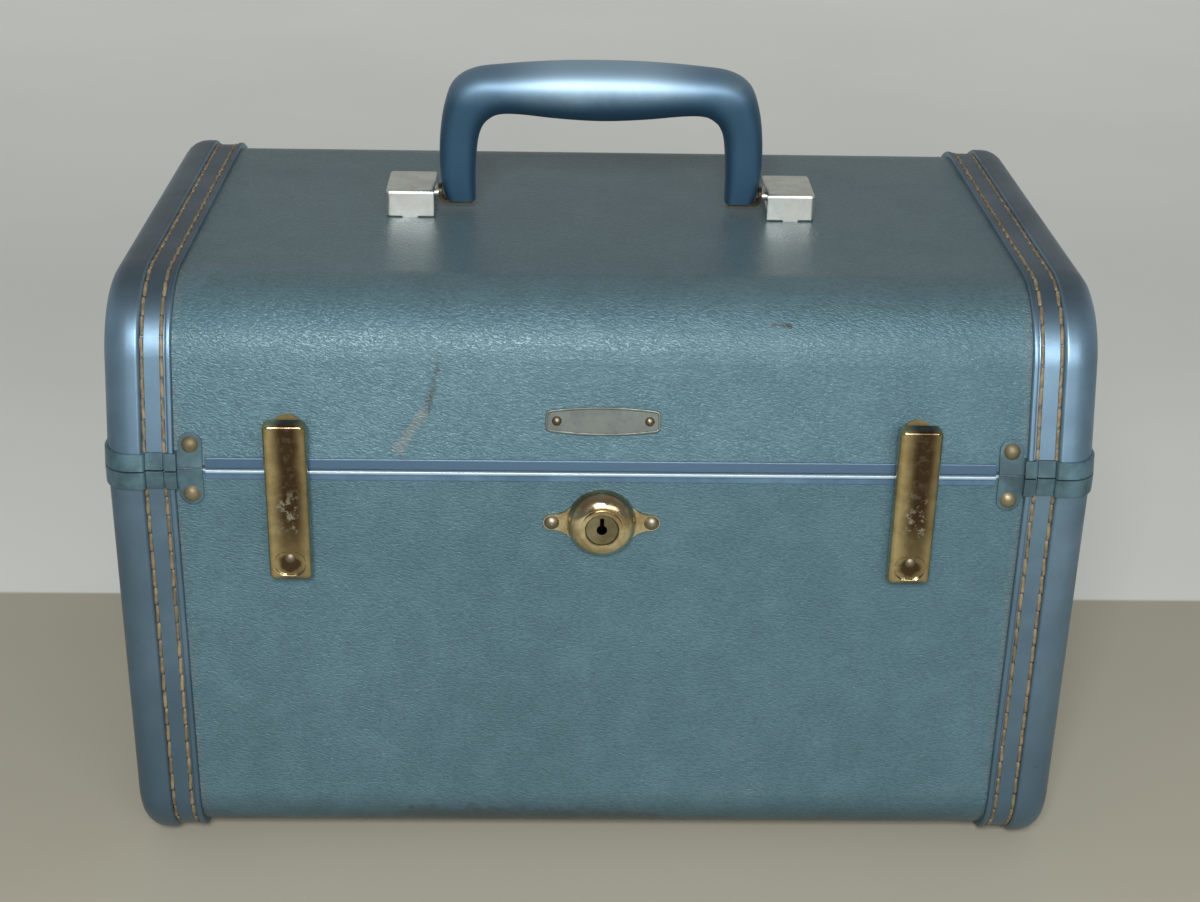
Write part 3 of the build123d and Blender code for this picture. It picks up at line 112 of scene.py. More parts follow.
class Finish:
    """A material with one Principled shader, and short ways to add nodes to it."""

    def __init__(self, name):
        self.material = bpy.data.materials.new(name)
        self.material.use_nodes = True
        self.tree = self.material.node_tree
        self.shader = self.tree.nodes["Principled BSDF"]
        self.place = self.node("ShaderNodeTexCoord").outputs["Object"]

    def node(self, kind, inputs=None, **settings):
        made = self.tree.nodes.new(kind)
        for key, value in settings.items():
            setattr(made, key, value)
        for key, value in (inputs or {}).items():
            self.put(made.inputs[key], value)
        return made

    def put(self, socket, value):
        if isinstance(value, bpy.types.NodeSocket):
            self.tree.links.new(value, socket)
        else:
            socket.default_value = value

    def set(self, **values):
        for key, value in values.items():
            self.put(self.shader.inputs[key.replace("_", " ")], value)
        return self

    def math(self, operation, *values):
        made = self.node("ShaderNodeMath", operation=operation)
        for socket, value in zip(made.inputs, values):
            self.put(socket, value)
        return made.outputs[0]

    def vector(self, operation, *values):
        made = self.node("ShaderNodeVectorMath", operation=operation)
        for socket, value in zip(made.inputs, values):
            self.put(socket, value)
        return made

    def noise(self, scale, detail=3.0, roughness=0.5, distortion=0.0, at=None):
        made = self.node(
            "ShaderNodeTexNoise",
            {
                "Vector": at or self.place,
                "Scale": scale,
                "Detail": detail,
                "Roughness": roughness,
                "Distortion": distortion,
            },
        )
        return made.outputs["Fac"]

    def waver(self, amount, scale, detail=3.0, roughness=0.5):
        """A noise that strays by an amount to either side of 0."""
        return self.math("MULTIPLY_ADD", self.noise(scale, detail, roughness), 2 * amount, -amount)

    def stretch(self, x, y, z):
        made = self.node("ShaderNodeMapping", {"Vector": self.place})
        made.inputs["Scale"].default_value = (x, y, z)
        return made.outputs["Vector"]

    def ramp(self, value, low_shade, high, start=0.0, stop=1.0):
        made = self.node(
            "ShaderNodeMapRange",
            {0: value, 1: low_shade, 2: high, 3: start, 4: stop},
            interpolation_type="SMOOTHSTEP",
        )
        return made.outputs[0]

    def mix(self, amount, first, second, blend="MIX"):
        made = self.node("ShaderNodeMix", data_type="RGBA", blend_type=blend)
        self.put(made.inputs[0], amount)
        self.put(made.inputs[6], first)
        self.put(made.inputs[7], second)
        return made.outputs[2]

    def grey(self, level):
        made = self.node("ShaderNodeCombineXYZ", {0: level, 1: level, 2: level})
        return made.outputs[0]

    def axis(self, letter):
        made = self.node("ShaderNodeSeparateXYZ", {"Vector": self.place})
        return made.outputs[letter]

    def facing_up(self):
        """1 where the surface faces straight up, 0 where it stands upright."""
        facing = self.node("ShaderNodeNewGeometry").outputs["Normal"]
        return self.node("ShaderNodeSeparateXYZ", {0: facing}).outputs["Z"]

    def colour_so_far(self):
        """The socket that the shader's colour is linked to."""
        return self.shader.inputs["Base Color"].links[0].from_socket

    def bump(self, height, depth, strength=1.0, edge=0.0):
        made = self.node(
            "ShaderNodeBump", {"Height": height, "Distance": depth, "Strength": strength}
        )
        if edge > 0:
            worn_edge = self.node("ShaderNodeBevel", {"Radius": edge}, samples=6)
            self.put(made.inputs["Normal"], worn_edge.outputs[0])
        self.put(self.shader.inputs["Normal"], made.outputs[0])


def give(piece, material):
    """Put one material on a whole mesh."""
    piece.data.materials.clear()
    piece.data.materials.append(material)


def new_piece(name, mesh):
    """An object for a mesh, linked into the scene."""
    piece = bpy.data.objects.new(name, mesh)
    bpy.context.scene.collection.objects.link(piece)
    return piece


floor_paint = Finish("floor_paint")
how_far = floor_paint.axis("Y")
beyond = floor_paint.ramp(how_far, table_edge - edge_softness, table_edge + edge_softness)
cloudy = floor_paint.ramp(floor_paint.noise(3.0), 0.3, 0.7, 0.96, 1.04)
tone = floor_paint.mix(beyond, table_colour, wall_colour)
ray = floor_paint.node("ShaderNodeLightPath").outputs
seen = floor_paint.math("ADD", ray["Is Camera Ray"], ray["Is Glossy Ray"])
share = floor_paint.math("MULTIPLY_ADD", beyond, 1 - table_share, table_share)
lift = floor_paint.ramp(how_far, table_edge, far_off, near_lift, far_lift)
lift = floor_paint.math("MULTIPLY", lift, share)
floor_paint.set(
    Base_Color=floor_paint.mix(1.0, tone, floor_paint.grey(cloudy), "MULTIPLY"),
    Emission_Color=tone,
    Emission_Strength=floor_paint.math("MULTIPLY", seen, lift),
    Roughness=0.75,
    Specular_IOR_Level=0.2,
)

floor_mesh = bpy.data.meshes.new("floor")
floor_mesh.from_pydata(
    [
        (-floor_half, -floor_half, 0),
        (floor_half, -floor_half, 0),
        (floor_half, floor_half, 0),
        (-floor_half, floor_half, 0),
    ],
    [],
    [(0, 1, 2, 3)],
)
floor = new_piece("floor", floor_mesh)
give(floor, floor_paint.material)


def soft_box(name, place, target, width, height, power):
    """A soft lamp that faces a point."""
    lamp = bpy.data.lights.new(name, "AREA")
    lamp.shape = "RECTANGLE"
    lamp.size = width
    lamp.size_y = height
    lamp.energy = power
    held = bpy.data.objects.new(name, lamp)
    held.location = place
    held.rotation_mode = "QUATERNION"
    held.rotation_quaternion = (Vector(target) - Vector(place)).to_track_quat("-Z", "Y")
    bpy.context.scene.collection.objects.link(held)


soft_box(
    "front_box",
    place=(0.30, -1.50, 0.76),
    target=(0, -0.10, 0.15),
    width=1.30,
    height=0.45,
    power=11.0,
)
soft_box(
    "gloss_box",
    place=(-0.10, -1.18, 0.92),
    target=(0, -0.05, 0.18),
    width=0.40,
    height=0.30,
    power=15.0,
)

world = bpy.data.worlds.new("surround")
world.use_nodes = True
sky = world.node_tree
direction = sky.nodes.new("ShaderNodeTexCoord")
split = sky.nodes.new("ShaderNodeSeparateXYZ")
fade = sky.nodes.new("ShaderNodeMapRange")
tint = sky.nodes.new("ShaderNodeMix")
tint.data_type = "RGBA"
sky.links.new(direction.outputs["Generated"], split.inputs[0])
sky.links.new(split.outputs["Y"], fade.inputs[0])
fade.inputs[1].default_value = front_side
fade.inputs[2].default_value = back_side
sky.links.new(fade.outputs[0], tint.inputs[0])
tint.inputs[6].default_value = surround_front
tint.inputs[7].default_value = surround_back
sky.links.new(tint.outputs[2], sky.nodes["Background"].inputs["Color"])
sky.nodes["Background"].inputs["Strength"].default_value = surround_strength
bpy.context.scene.world = world

# Vinyl covering. Grained cloth is stretched over the boards and turned in at the edges.
# Years of use have left it mottled, rubbed paler in places, stained, dusty on top and grimy
# along the bottom. Shade is painted darker on its top, in the hollows of its grain and
# towards the bottom.

vinyl_colour = srgb(81, 109, 120)
vinyl_pale = srgb(95, 124, 134)
vinyl_dark = srgb(67, 94, 104)
grime_and_shade_colour = srgb(44, 62, 66)
dust_and_shade_colour = srgb(66, 74, 72)
scuff_colour = srgb(120, 116, 102)
mark_colour = srgb(52, 44, 38)
glue_colour = srgb(108, 104, 96)
grain_slope = radians(15)
grain_scale = 1800.0
grain_depth = 0.00015
grain_long = 3.2
grain_wide = 1.6
pebble_share = 0.3
cover_end = 0.1496
glue_reach = 0.0030
grime_shade_foot = 0.002
grime_shade_top = 0.030
soft_angle = 32.0
merge_distance = 2e-6
least_edge = 1e-7
flat_angle = 0.002


def soften(mesh, angle):
    """Shade a mesh softly, with a sharp edge wherever it turns by more than an angle."""
    mesh.polygons.foreach_set("use_smooth", [True] * len(mesh.polygons))
    mesh.set_sharp_from_angle(angle=radians(angle))


def even_normals(piece):
    """Let the flat faces of a piece set how its rounds are shaded."""
    level = piece.modifiers.new("even_normals", "WEIGHTED_NORMAL")
    level.keep_sharp = True
    level.weight = 100


def smooth_copy(node):
    """A merged copy of a solid with soft shading, in its place and on its body."""
    source = frame["nodes"][node]
    mesh = source.data.copy()
    work = bmesh.new()
    work.from_mesh(mesh)
    bmesh.ops.remove_doubles(work, verts=work.verts, dist=merge_distance)
    bmesh.ops.dissolve_degenerate(work, edges=work.edges, dist=least_edge)
    bmesh.ops.dissolve_limit(work, angle_limit=flat_angle, verts=work.verts, edges=work.edges)
    work.to_mesh(mesh)
    work.free()
    soften(mesh, soft_angle)
    piece = new_piece(node + "_piece", mesh)
    even_normals(piece)
    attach(piece, source["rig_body"])
    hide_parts(node)
    return piece


vinyl = Finish("vinyl")


def streak(finish, start, end, width, ragged, seed):
    """A rubbed mark: 1 on the line between two points, fading to 0 beside it."""
    line = Vector(end) - Vector(start)
    offset = finish.vector("SUBTRACT", finish.place, start).outputs[0]
    along = finish.vector("DOT_PRODUCT", offset, line / line.length_squared).outputs[1]
    clamped = finish.node("ShaderNodeClamp", {0: along}).outputs[0]
    scaled = finish.vector("SCALE", line)
    finish.put(scaled.inputs["Scale"], clamped)
    apart = finish.vector("DISTANCE", offset, scaled.outputs[0]).outputs[1]
    shift = finish.vector("ADD", finish.place, (seed, 0.0, 0.0)).outputs[0]
    broken = finish.noise(ragged, 4.0, 0.65, at=shift)
    reach = finish.math("MULTIPLY_ADD", broken, 2.0 * width, -0.45 * width)
    return finish.ramp(finish.math("SUBTRACT", apart, reach), -0.3 * width, 0.3 * width, 1.0, 0.0)


mottle = vinyl.ramp(vinyl.noise(8.0, 5.0, 0.6), 0.25, 0.75)
colour = vinyl.mix(vinyl.math("MULTIPLY", mottle, 0.5), vinyl_dark, vinyl_colour)
fine_mottle = vinyl.ramp(vinyl.noise(70.0, 4.0, 0.6), 0.35, 0.8)
colour = vinyl.mix(vinyl.math("MULTIPLY", fine_mottle, 0.3), colour, vinyl_pale)
# Up-facing vinyl is mixed towards a dull grey: dust, and painted shade on the top.
dust_and_top_shade = vinyl.ramp(vinyl.facing_up(), 0.6, 1.0, 0.0, 0.45)
colour = vinyl.mix(dust_and_top_shade, colour, dust_and_shade_colour)
# Towards the bottom the vinyl is darkened in patches: grime, and painted shade near the table.
low_shade = vinyl.ramp(vinyl.axis("Z"), grime_shade_foot, grime_shade_top, 1.0, 0.0)
grime_and_shade = vinyl.math("MULTIPLY", low_shade, vinyl.ramp(vinyl.noise(28.0, 5.0, 0.7), 0.2, 0.6))
colour = vinyl.mix(vinyl.math("MULTIPLY", grime_and_shade, 0.9), colour, grime_and_shade_colour)
outwards = vinyl.math("ABSOLUTE", vinyl.axis("X"))
glue = vinyl.ramp(outwards, cover_end - glue_reach, cover_end, 0.0, 0.3)
glue = vinyl.math("MULTIPLY", glue, vinyl.ramp(vinyl.noise(90.0, 4.0, 0.6), 0.3, 0.6))
colour = vinyl.mix(glue, colour, glue_colour)
# Each mark: its start, its end, its width, its colour and its strength.
scuffs = [
    ((-0.0620, -0.1070, 0.1810), (-0.0560, -0.1010, 0.2080), 0.0022, mark_colour, 0.7),
    ((-0.0720, -0.1090, 0.1690), (-0.0630, -0.1070, 0.1820), 0.0028, scuff_colour, 0.4),
    ((0.0560, -0.0960, 0.2130), (0.0650, -0.0955, 0.2115), 0.0014, mark_colour, 0.8),
    ((-0.0700, -0.1080, 0.0150), (0.0200, -0.1065, 0.0120), 0.0085, mark_colour, 0.4),
    ((0.1180, -0.1110, 0.0190), (0.1300, -0.1110, 0.0175), 0.0007, dust_and_shade_colour, 0.9),
]
for number, (start, end, width, stain, weight) in enumerate(scuffs):
    mark = vinyl.math("MULTIPLY", streak(vinyl, start, end, width, 260.0, number), weight)
    colour = vinyl.mix(mark, colour, stain)

along_grain = vinyl.node(
    "ShaderNodeMapping",
    {
        "Vector": vinyl.place,
        "Rotation": (0, grain_slope, 0),
        "Scale": (grain_long, grain_wide, 1.0),
    },
    vector_type="TEXTURE",
).outputs[0]
wrinkles = vinyl.noise(grain_scale, 2.0, 0.5, 0.6, at=along_grain)
pebbles = vinyl.noise(2.2 * grain_scale, 1.0, at=along_grain)
relief = vinyl.math("MULTIPLY_ADD", pebbles, pebble_share, vinyl.ramp(wrinkles, 0.36, 0.66))
# The hollows of the grain are painted darker as shade, and its ridges a little lighter.
painted_grain_shade = vinyl.ramp(wrinkles, 0.3, 0.62, 0.82, 1.07)
vinyl.set(
    Base_Color=vinyl.mix(1.0, colour, vinyl.grey(painted_grain_shade), "MULTIPLY"),
    Roughness=vinyl.ramp(mottle, 0.0, 1.0, 0.35, 0.28),
    Specular_IOR_Level=0.5,
    Specular_Tint=(0.7, 0.95, 1.0, 1.0),
)
vinyl.bump(relief, grain_depth, 0.75)

for node in ("body_cover", "lid_cover"):
    cover = smooth_copy(node)
    give(cover, vinyl.material)

# End caps. Each is a moulding of satin metallic blue that wraps one end of the box, with a
# rounded lip, a flat band sunk for two rows of stitches, and a fat outer roll that takes
# the knocks. One section runs round the outline of the body, and another round the lid's.

half_depth = 0.111
case_foot = 0.0032
closing = 0.1616
lid_foot = closing + 0.0006
lid_top = 0.2225
lean = radians(14)
side_shapes = {
    "body": {"start": closing, "far": case_foot, "corner": 0.022, "lean": 0.0, "up": -1},
    "lid": {"start": lid_foot, "far": lid_top, "corner": 0.0305, "lean": lean, "up": 1},
}
corner_steps = 20
section_steps = 6
# Each corner of the caps' section: how far out, how far above the cover, and its round.
cap_section = [
    (0.1743, -0.0070, 0),
    (0.1743, 0.0032, 0.0095),
    (0.16075, 0.0032, 0.0014),
    (0.1607, 0.0010, 0.0002),
    (0.1595, 0.0010, 0.0002),
    (0.1595, 0.0015, 0.0002),
    (0.1539, 0.0015, 0.0002),
    (0.1539, 0.0010, 0.0002),
    (0.1527, 0.0010, 0.0002),
    (0.1527, 0.0015, 0.0002),
    (0.1521, 0.0013, 0.0001),
    (0.1519, 0.0023, 0.0007),
    (0.1500, 0.0023, 0.0007),
    (0.1500, 0.0000, 0),
    (0.1723, 0.0000, 0.0070),
    (0.1723, -0.0070, 0),
]
cap_colour = srgb(126, 156, 178)
cap_dark = srgb(72, 94, 110)
cap_worn = srgb(36, 46, 60)
cap_dust_and_shade = srgb(54, 60, 62)


def rounded(corners, steps):
    """A line through corners given as across, up and round, with the rounds cut fine."""
    points = []
    for number, (across, up, radius) in enumerate(corners):
        here = Vector((across, up))
        if radius == 0:
            points.append(here)
            continue
        back = (Vector(corners[number - 1][:2]) - here).normalized()
        ahead = (Vector(corners[(number + 1) % len(corners)][:2]) - here).normalized()
        half = back.angle(ahead) / 2
        middle = here + (back + ahead).normalized() * (radius / sin(half))
        spoke = here + back * (radius / tan(half)) - middle
        sweep = (pi - 2 * half) * (1 if back.cross(ahead) < 0 else -1)
        for step in range(steps + 1):
            points.append(middle + Matrix.Rotation(sweep * step / steps, 2) @ spoke)
    return points


def side_corners(shape, grow, start):
    """The corners of the case's side, from its front round to its back, grown outwards."""
    far = shape["far"] + shape["up"] * grow
    foot, tip = [
        half_depth + grow / cos(shape["lean"]) - tan(shape["lean"]) * (height - closing)
        for height in (start, far)
    ]
    corner = shape["corner"] + grow
    return [(-foot, start, 0), (-tip, far, corner), (tip, far, corner), (foot, start, 0)]


def wrap_side(name, shape, section):
    """A closed shell: one section run round the side, with its end wall and its rim."""
    grown_sides = [side_corners(shape, rise, shape["start"]) for _, rise in section]
    lines = [rounded(corners, corner_steps) for corners in grown_sides]
    work = bmesh.new()
    columns = [
        [work.verts.new((out, place.x, place.y)) for place in line]
        for (out, _), line in zip(section, lines)
    ]
    for left, right in zip(columns, columns[1:]):
        for row in range(len(left) - 1):
            work.faces.new((left[row], left[row + 1], right[row + 1], right[row]))
    outer, inner = columns[0], columns[-1]
    work.faces.new(outer)
    work.faces.new(inner)
    work.faces.new([column[0] for column in columns])
    work.faces.new([column[-1] for column in columns])
    work.faces.new((outer[0], outer[-1], inner[-1], inner[0]))
    return finished(name, work, soft_angle)


def finished(name, work, angle):
    """A mesh of the faces made so far, pointed outwards and softly shaded."""
    mesh = bpy.data.meshes.new(name)
    bmesh.ops.recalc_face_normals(work, faces=work.faces)
    work.to_mesh(mesh)
    work.free()
    soften(mesh, angle)
    return mesh


cap_paint = Finish("cap_plastic")
cloud = cap_paint.ramp(cap_paint.noise(16.0, 5.0, 0.62), 0.3, 0.72, 0.3)
colour = cap_paint.mix(cloud, cap_dark, cap_colour)
specks = cap_paint.ramp(cap_paint.noise(170.0, 6.0, 0.75), 0.64, 0.72)
patches = cap_paint.ramp(cap_paint.noise(35.0, 3.0, 0.6), 0.5, 0.62)
knocks = cap_paint.math("MULTIPLY", specks, patches)
colour = cap_paint.mix(cap_paint.math("MULTIPLY", knocks, 0.7), colour, cap_worn)
# The caps on the body are painted darker lower down, as shade.
low_shade = cap_paint.ramp(cap_paint.axis("Z"), 0.0, closing, 0.7, 0.2)
colour = cap_paint.mix(low_shade, colour, cap_dark)
# Up-facing parts of the caps are mixed towards a dull grey: dust, and painted shade on the top.
dust_and_top_shade = cap_paint.ramp(cap_paint.facing_up(), 0.45, 0.95, 0.0, 0.7)
colour = cap_paint.mix(dust_and_top_shade, colour, cap_dust_and_shade)
cap_paint.set(
    Base_Color=colour,
    Metallic=0.65,
    Roughness=cap_paint.ramp(cloud, 0.0, 1.0, 0.46, 0.38),
)
cap_paint.bump(cap_paint.noise(500.0, 3.0), 0.00004, 0.5)

sides = {"right": 1, "left": -1}
for part, shape in side_shapes.items():
    for side, sign in sides.items():
        node = f"{part}_end_cap_{side}"
        section = [(sign * point.x, point.y) for point in rounded(cap_section, section_steps)]
        cap = new_piece(node + "_moulding", wrap_side(node, shape, section))
        even_normals(cap)
        give(cap, cap_paint.material)
        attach(cap, part)
        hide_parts(node)

# Stitches. Two rows of waxed tan thread run round each cap in the grooves of its band and
# stop at the channels. A node tree lays one short bead of thread for each stitch.

thread_rows = (0.1533, 0.1601)
thread_rise = 0.0012
thread_colour = srgb(140, 124, 96)
thread_dark = srgb(96, 86, 68)
channel_half = 0.0066
corner_cuts = 16
bead_rings = 5
thread_stops = {"body": closing - channel_half, "lid": closing + channel_half}
stitch_sizes = {
    "Corner Round": 0.0,
    "Pitch": 0.0072,
    "Stitch Length": 0.0076,
    "Thread Width": 0.0016,
    "Thread Height": 0.0013,
    "Slant": 0.04,
    "Unevenness": 0.03,
}

thread = Finish("waxed_thread")
worn = thread.ramp(thread.noise(220.0, 4.0, 0.6), 0.35, 0.7)
twist = thread.ramp(thread.noise(2400.0, 2.0, at=thread.stretch(1.0, 1.0, 0.4)), 0.35, 0.65)
thread.set(
    Base_Color=thread.mix(worn, thread_dark, thread_colour),
    Roughness=0.55,
)
thread.bump(twist, 0.0001, 0.6)

stitching = bpy.data.node_groups.new("stitched_rows", "GeometryNodeTree")
stitching.interface.new_socket("Rows", in_out="INPUT", socket_type="NodeSocketGeometry")
for label, value in stitch_sizes.items():
    socket = stitching.interface.new_socket(
        label, in_out="INPUT", socket_type="NodeSocketFloat"
    )
    socket.default_value = value
stitching.interface.new_socket("Seed", in_out="INPUT", socket_type="NodeSocketInt")
stitching.interface.new_socket("Thread", in_out="INPUT", socket_type="NodeSocketMaterial")
stitching.interface.new_socket("Stitches", in_out="OUTPUT", socket_type="NodeSocketGeometry")


def tree_node(tree, kind, inputs, **settings):
    """Add a geometry node, with its inputs set to values or linked to other nodes."""
    made = tree.nodes.new(kind)
    for key, value in settings.items():
        setattr(made, key, value)
    for key, value in inputs.items():
        if isinstance(value, bpy.types.NodeSocket):
            tree.links.new(value, made.inputs[key])
        else:
            made.inputs[key].default_value = value
    return made.outputs


given = tree_node(stitching, "NodeGroupInput", {})
path = tree_node(stitching, "GeometryNodeMeshToCurve", {0: given["Rows"]})
bent = tree_node(
    stitching,
    "GeometryNodeFilletCurve",
    {"Curve": path[0], "Count": corner_cuts, "Radius": given["Corner Round"]},
    mode="POLY",
)
paced = tree_node(
    stitching,
    "GeometryNodeResampleCurve",
    {"Curve": bent[0], "Length": given["Pitch"]},
    mode="LENGTH",
)
spots = tree_node(
    stitching, "GeometryNodeCurveToPoints", {"Curve": paced[0]}, mode="EVALUATED"
)
along = tree_node(
    stitching,
    "FunctionNodeAxesToRotation",
    {"Primary Axis": spots["Tangent"], "Secondary Axis": (1, 0, 0)},
    primary_axis="Z",
    secondary_axis="X",
)
least = tree_node(
    stitching,
    "ShaderNodeMath",
    {0: given["Slant"], 1: given["Unevenness"]},
    operation="SUBTRACT",
)
most = tree_node(
    stitching, "ShaderNodeMath", {0: given["Slant"], 1: given["Unevenness"]}, operation="ADD"
)
chance = stitching.nodes.new("FunctionNodeRandomValue")
chance.data_type = "FLOAT"
stitching.links.new(least[0], chance.inputs[2])
stitching.links.new(most[0], chance.inputs[3])
stitching.links.new(given["Seed"], chance.inputs["Seed"])
tilt = tree_node(
    stitching,
    "FunctionNodeAxisAngleToRotation",
    {"Axis": (0, 1, 0), "Angle": chance.outputs[1]},
)
turned = tree_node(
    stitching,
    "FunctionNodeRotateRotation",
    {"Rotation": along[0], "Rotate By": tilt[0]},
    rotation_space="LOCAL",
)
size = tree_node(
    stitching,
    "ShaderNodeCombineXYZ",
    {0: given["Thread Width"], 1: given["Thread Height"], 2: given["Stitch Length"]},
)
block = tree_node(
    stitching, "GeometryNodeMeshCube", {"Size": (1, 1, 1), "Vertices Z": bead_rings}
)
bead = tree_node(stitching, "GeometryNodeSubdivisionSurface", {0: block[0], 1: 1})
sized = tree_node(stitching, "GeometryNodeTransform", {"Geometry": bead[0], "Scale": size[0]})
laid = tree_node(
    stitching,
    "GeometryNodeInstanceOnPoints",
    {"Points": spots["Points"], "Instance": sized[0], "Rotation": turned[0]},
)
real = tree_node(stitching, "GeometryNodeRealizeInstances", {0: laid[0]})
soft = tree_node(stitching, "GeometryNodeSetShadeSmooth", {"Geometry": real[0]})
dyed = tree_node(
    stitching, "GeometryNodeSetMaterial", {"Geometry": soft[0], "Material": given["Thread"]}
)
tree_node(stitching, "NodeGroupOutput", {0: dyed[0]})


def grown(name, mesh, tree, values):
    """A piece whose mesh is what a node tree makes of a plain one."""
    piece = new_piece(name, mesh)
    maker = piece.modifiers.new("maker", "NODES")
    maker.node_group = tree
    for item in tree.interface.items_tree:
        if item.in_out == "INPUT" and item.name in values:
            maker[item.identifier] = values[item.name]
    graph = bpy.context.evaluated_depsgraph_get()
    made = bpy.data.meshes.new_from_object(piece.evaluated_get(graph), depsgraph=graph)
    piece.modifiers.clear()
    piece.data = made
    return piece


for number, (part, shape) in enumerate(side_shapes.items()):
    corners = side_corners(shape, thread_rise, thread_stops[part])
    for side, sign in sides.items():
        points = [(sign * out, y, z) for out in thread_rows for y, z, _ in corners]
        ends = range(len(corners), len(points), len(corners))
        edges = [(i, i + 1) for i in range(len(points) - 1) if i + 1 not in ends]
        rows = bpy.data.meshes.new("thread_rows")
        rows.from_pydata(points, edges, [])
        values = stitch_sizes | {
            "Corner Round": shape["corner"] + thread_rise,
            "Slant": sign * stitch_sizes["Slant"],
            "Seed": number,
            "Thread": thread.material,
        }
        stitches = grown(f"{part}_stitches_{side}", rows, stitching, values)
        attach(stitches, part)

# Rails and end channels. The rails are folded metal strips, lacquered pale blue, with a
# highlight painted pale along their edges and the lid's rail painted darker as shade. The
# channels are metal straps painted teal, formed over the ends of the caps, and their tabs are
# riveted to the box.

rail_colour = srgb(104, 138, 166)
rail_dark = srgb(84, 114, 142)
rail_painted_shade = srgb(66, 92, 114)
rail_painted_highlight = srgb(186, 208, 222)
highlight_foot = closing - 0.0012
highlight_top = closing - 0.0005
gap_fade = 0.0002
lid_highlight_foot = closing + 0.0037
lid_highlight_top = closing + 0.0041
folded_edge = 0.0003
both_sides = ("left", "right")
channel_colour = srgb(84, 114, 124)
channel_dark = srgb(58, 80, 88)

rail_paint = Finish("rail_metal")
patchy = rail_paint.ramp(rail_paint.noise(45.0, 5.0, 0.7), 0.35, 0.7)
painted = rail_paint.mix(patchy, rail_dark, rail_colour)
height = rail_paint.axis("Z")
# The lid's rail is painted darker as shade.
on_lid = rail_paint.ramp(height, closing, closing + gap_fade)
painted = rail_paint.mix(on_lid, painted, rail_painted_shade)
# A pale band is painted along the top edge of each rail as a highlight.
body_edge_highlight = rail_paint.ramp(height, highlight_foot, highlight_top)
below_gap = rail_paint.ramp(height, closing, closing + gap_fade, 1.0, 0.0)
lid_edge_highlight = rail_paint.ramp(height, lid_highlight_foot, lid_highlight_top, 0.0, 0.2)
painted_edge_highlight = rail_paint.math("MULTIPLY_ADD", body_edge_highlight, below_gap, lid_edge_highlight)
rail_paint.set(
    Base_Color=rail_paint.mix(painted_edge_highlight, painted, rail_painted_highlight),
    Metallic=0.5,
    Roughness=0.36,
)
rail_paint.bump(rail_paint.noise(700.0, 2.0), 0.00003, 0.5, edge=folded_edge)

channel_paint = Finish("strap_metal")
rubbed = channel_paint.ramp(channel_paint.noise(70.0, 6.0, 0.7), 0.35, 0.7)
channel_paint.set(
    Base_Color=channel_paint.mix(rubbed, channel_dark, channel_colour),
    Metallic=0.3,
    Roughness=0.38,
)
channel_paint.bump(channel_paint.noise(800.0, 3.0), 0.00004, 0.5, edge=folded_edge)

for part in side_shapes:
    rail = smooth_copy(f"{part}_rail")
    give(rail, rail_paint.material)
    for side in both_sides:
        channel = smooth_copy(f"{part}_end_channel_{side}")
        give(channel, channel_paint.material)

# The lock's front. A domed escutcheon of gilt brass, with two lugs riveted to the body, has a
# turned barrel and a brass plug that the key turns. Its upper part is painted brown, partly
# tarnish and partly a painted dark reflection.

lock_bright = srgb(238, 226, 186)
lock_dull = srgb(190, 172, 130)
pit_colour = srgb(84, 72, 52)
lock_tarnish_reflection_colour = srgb(112, 84, 60)
keyhole_shade_colour = (0.003, 0.003, 0.003, 1.0)
lock_tarnish_reflection_from = 0.143
lock_tarnish_reflection_full = 0.151
keyhole_lip = 0.0005
keyhole_shade_full = 0.0009


def plated(name, bright, dull, pits, roughness, edge=0.0, dents=0.4):
    """A plated metal with cloudy dulling and small pits."""
    finish = Finish(name)
    clouds = finish.ramp(finish.noise(120.0, 5.0, 0.65), 0.35, 0.65)
    spots = finish.ramp(finish.noise(900.0, 4.0, 0.7), 0.66, 0.74)
    tint = finish.mix(clouds, dull, bright)
    finish.set(
        Base_Color=finish.mix(finish.math("MULTIPLY", spots, 0.8), tint, pits),
        Metallic=1.0,
        Roughness=finish.ramp(clouds, 0.0, 1.0, roughness + 0.14, roughness),
    )
    finish.bump(finish.noise(1500.0, 2.0), 0.00002, dents, edge)
    return finish


lock_gilt = plated("lock_gilt", lock_bright, lock_dull, pit_colour, 0.14)
# The upper part of the lock is painted brown: tarnish, and a painted dark reflection.
ragged = lock_gilt.math("ADD", lock_gilt.axis("Z"), lock_gilt.waver(0.008, 160.0, 4.0, 0.6))
lock_tarnish_reflection = lock_gilt.ramp(ragged, lock_tarnish_reflection_from, lock_tarnish_reflection_full, 0.0, 0.6)
lock_gilt.set(Base_Color=lock_gilt.mix(lock_tarnish_reflection, lock_gilt.colour_so_far(), lock_tarnish_reflection_colour))
plug_brass = plated("plug_brass", srgb(160, 152, 122), srgb(118, 110, 84), pit_colour, 0.3)
plug_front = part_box("lock_cylinder")[0][1]
# Inside the keyhole the plug is painted black as shade.
depth_in = plug_brass.math("SUBTRACT", plug_brass.axis("Y"), plug_front)
inside = plug_brass.ramp(depth_in, keyhole_lip, keyhole_shade_full)
plug_brass.set(Base_Color=plug_brass.mix(inside, plug_brass.colour_so_far(), keyhole_shade_colour))
rivet_grey = plated("rivet_grey", srgb(158, 150, 132), srgb(124, 116, 98), pit_colour, 0.4)
lock_metal = {
    "lock_escutcheon": lock_gilt,
    "lock_barrel": lock_gilt,
    "lock_cylinder": plug_brass,
    "lock_rivets": rivet_grey,
}
for node, finish in lock_metal.items():
    fitting = smooth_copy(node)
    give(fitting, finish.material)

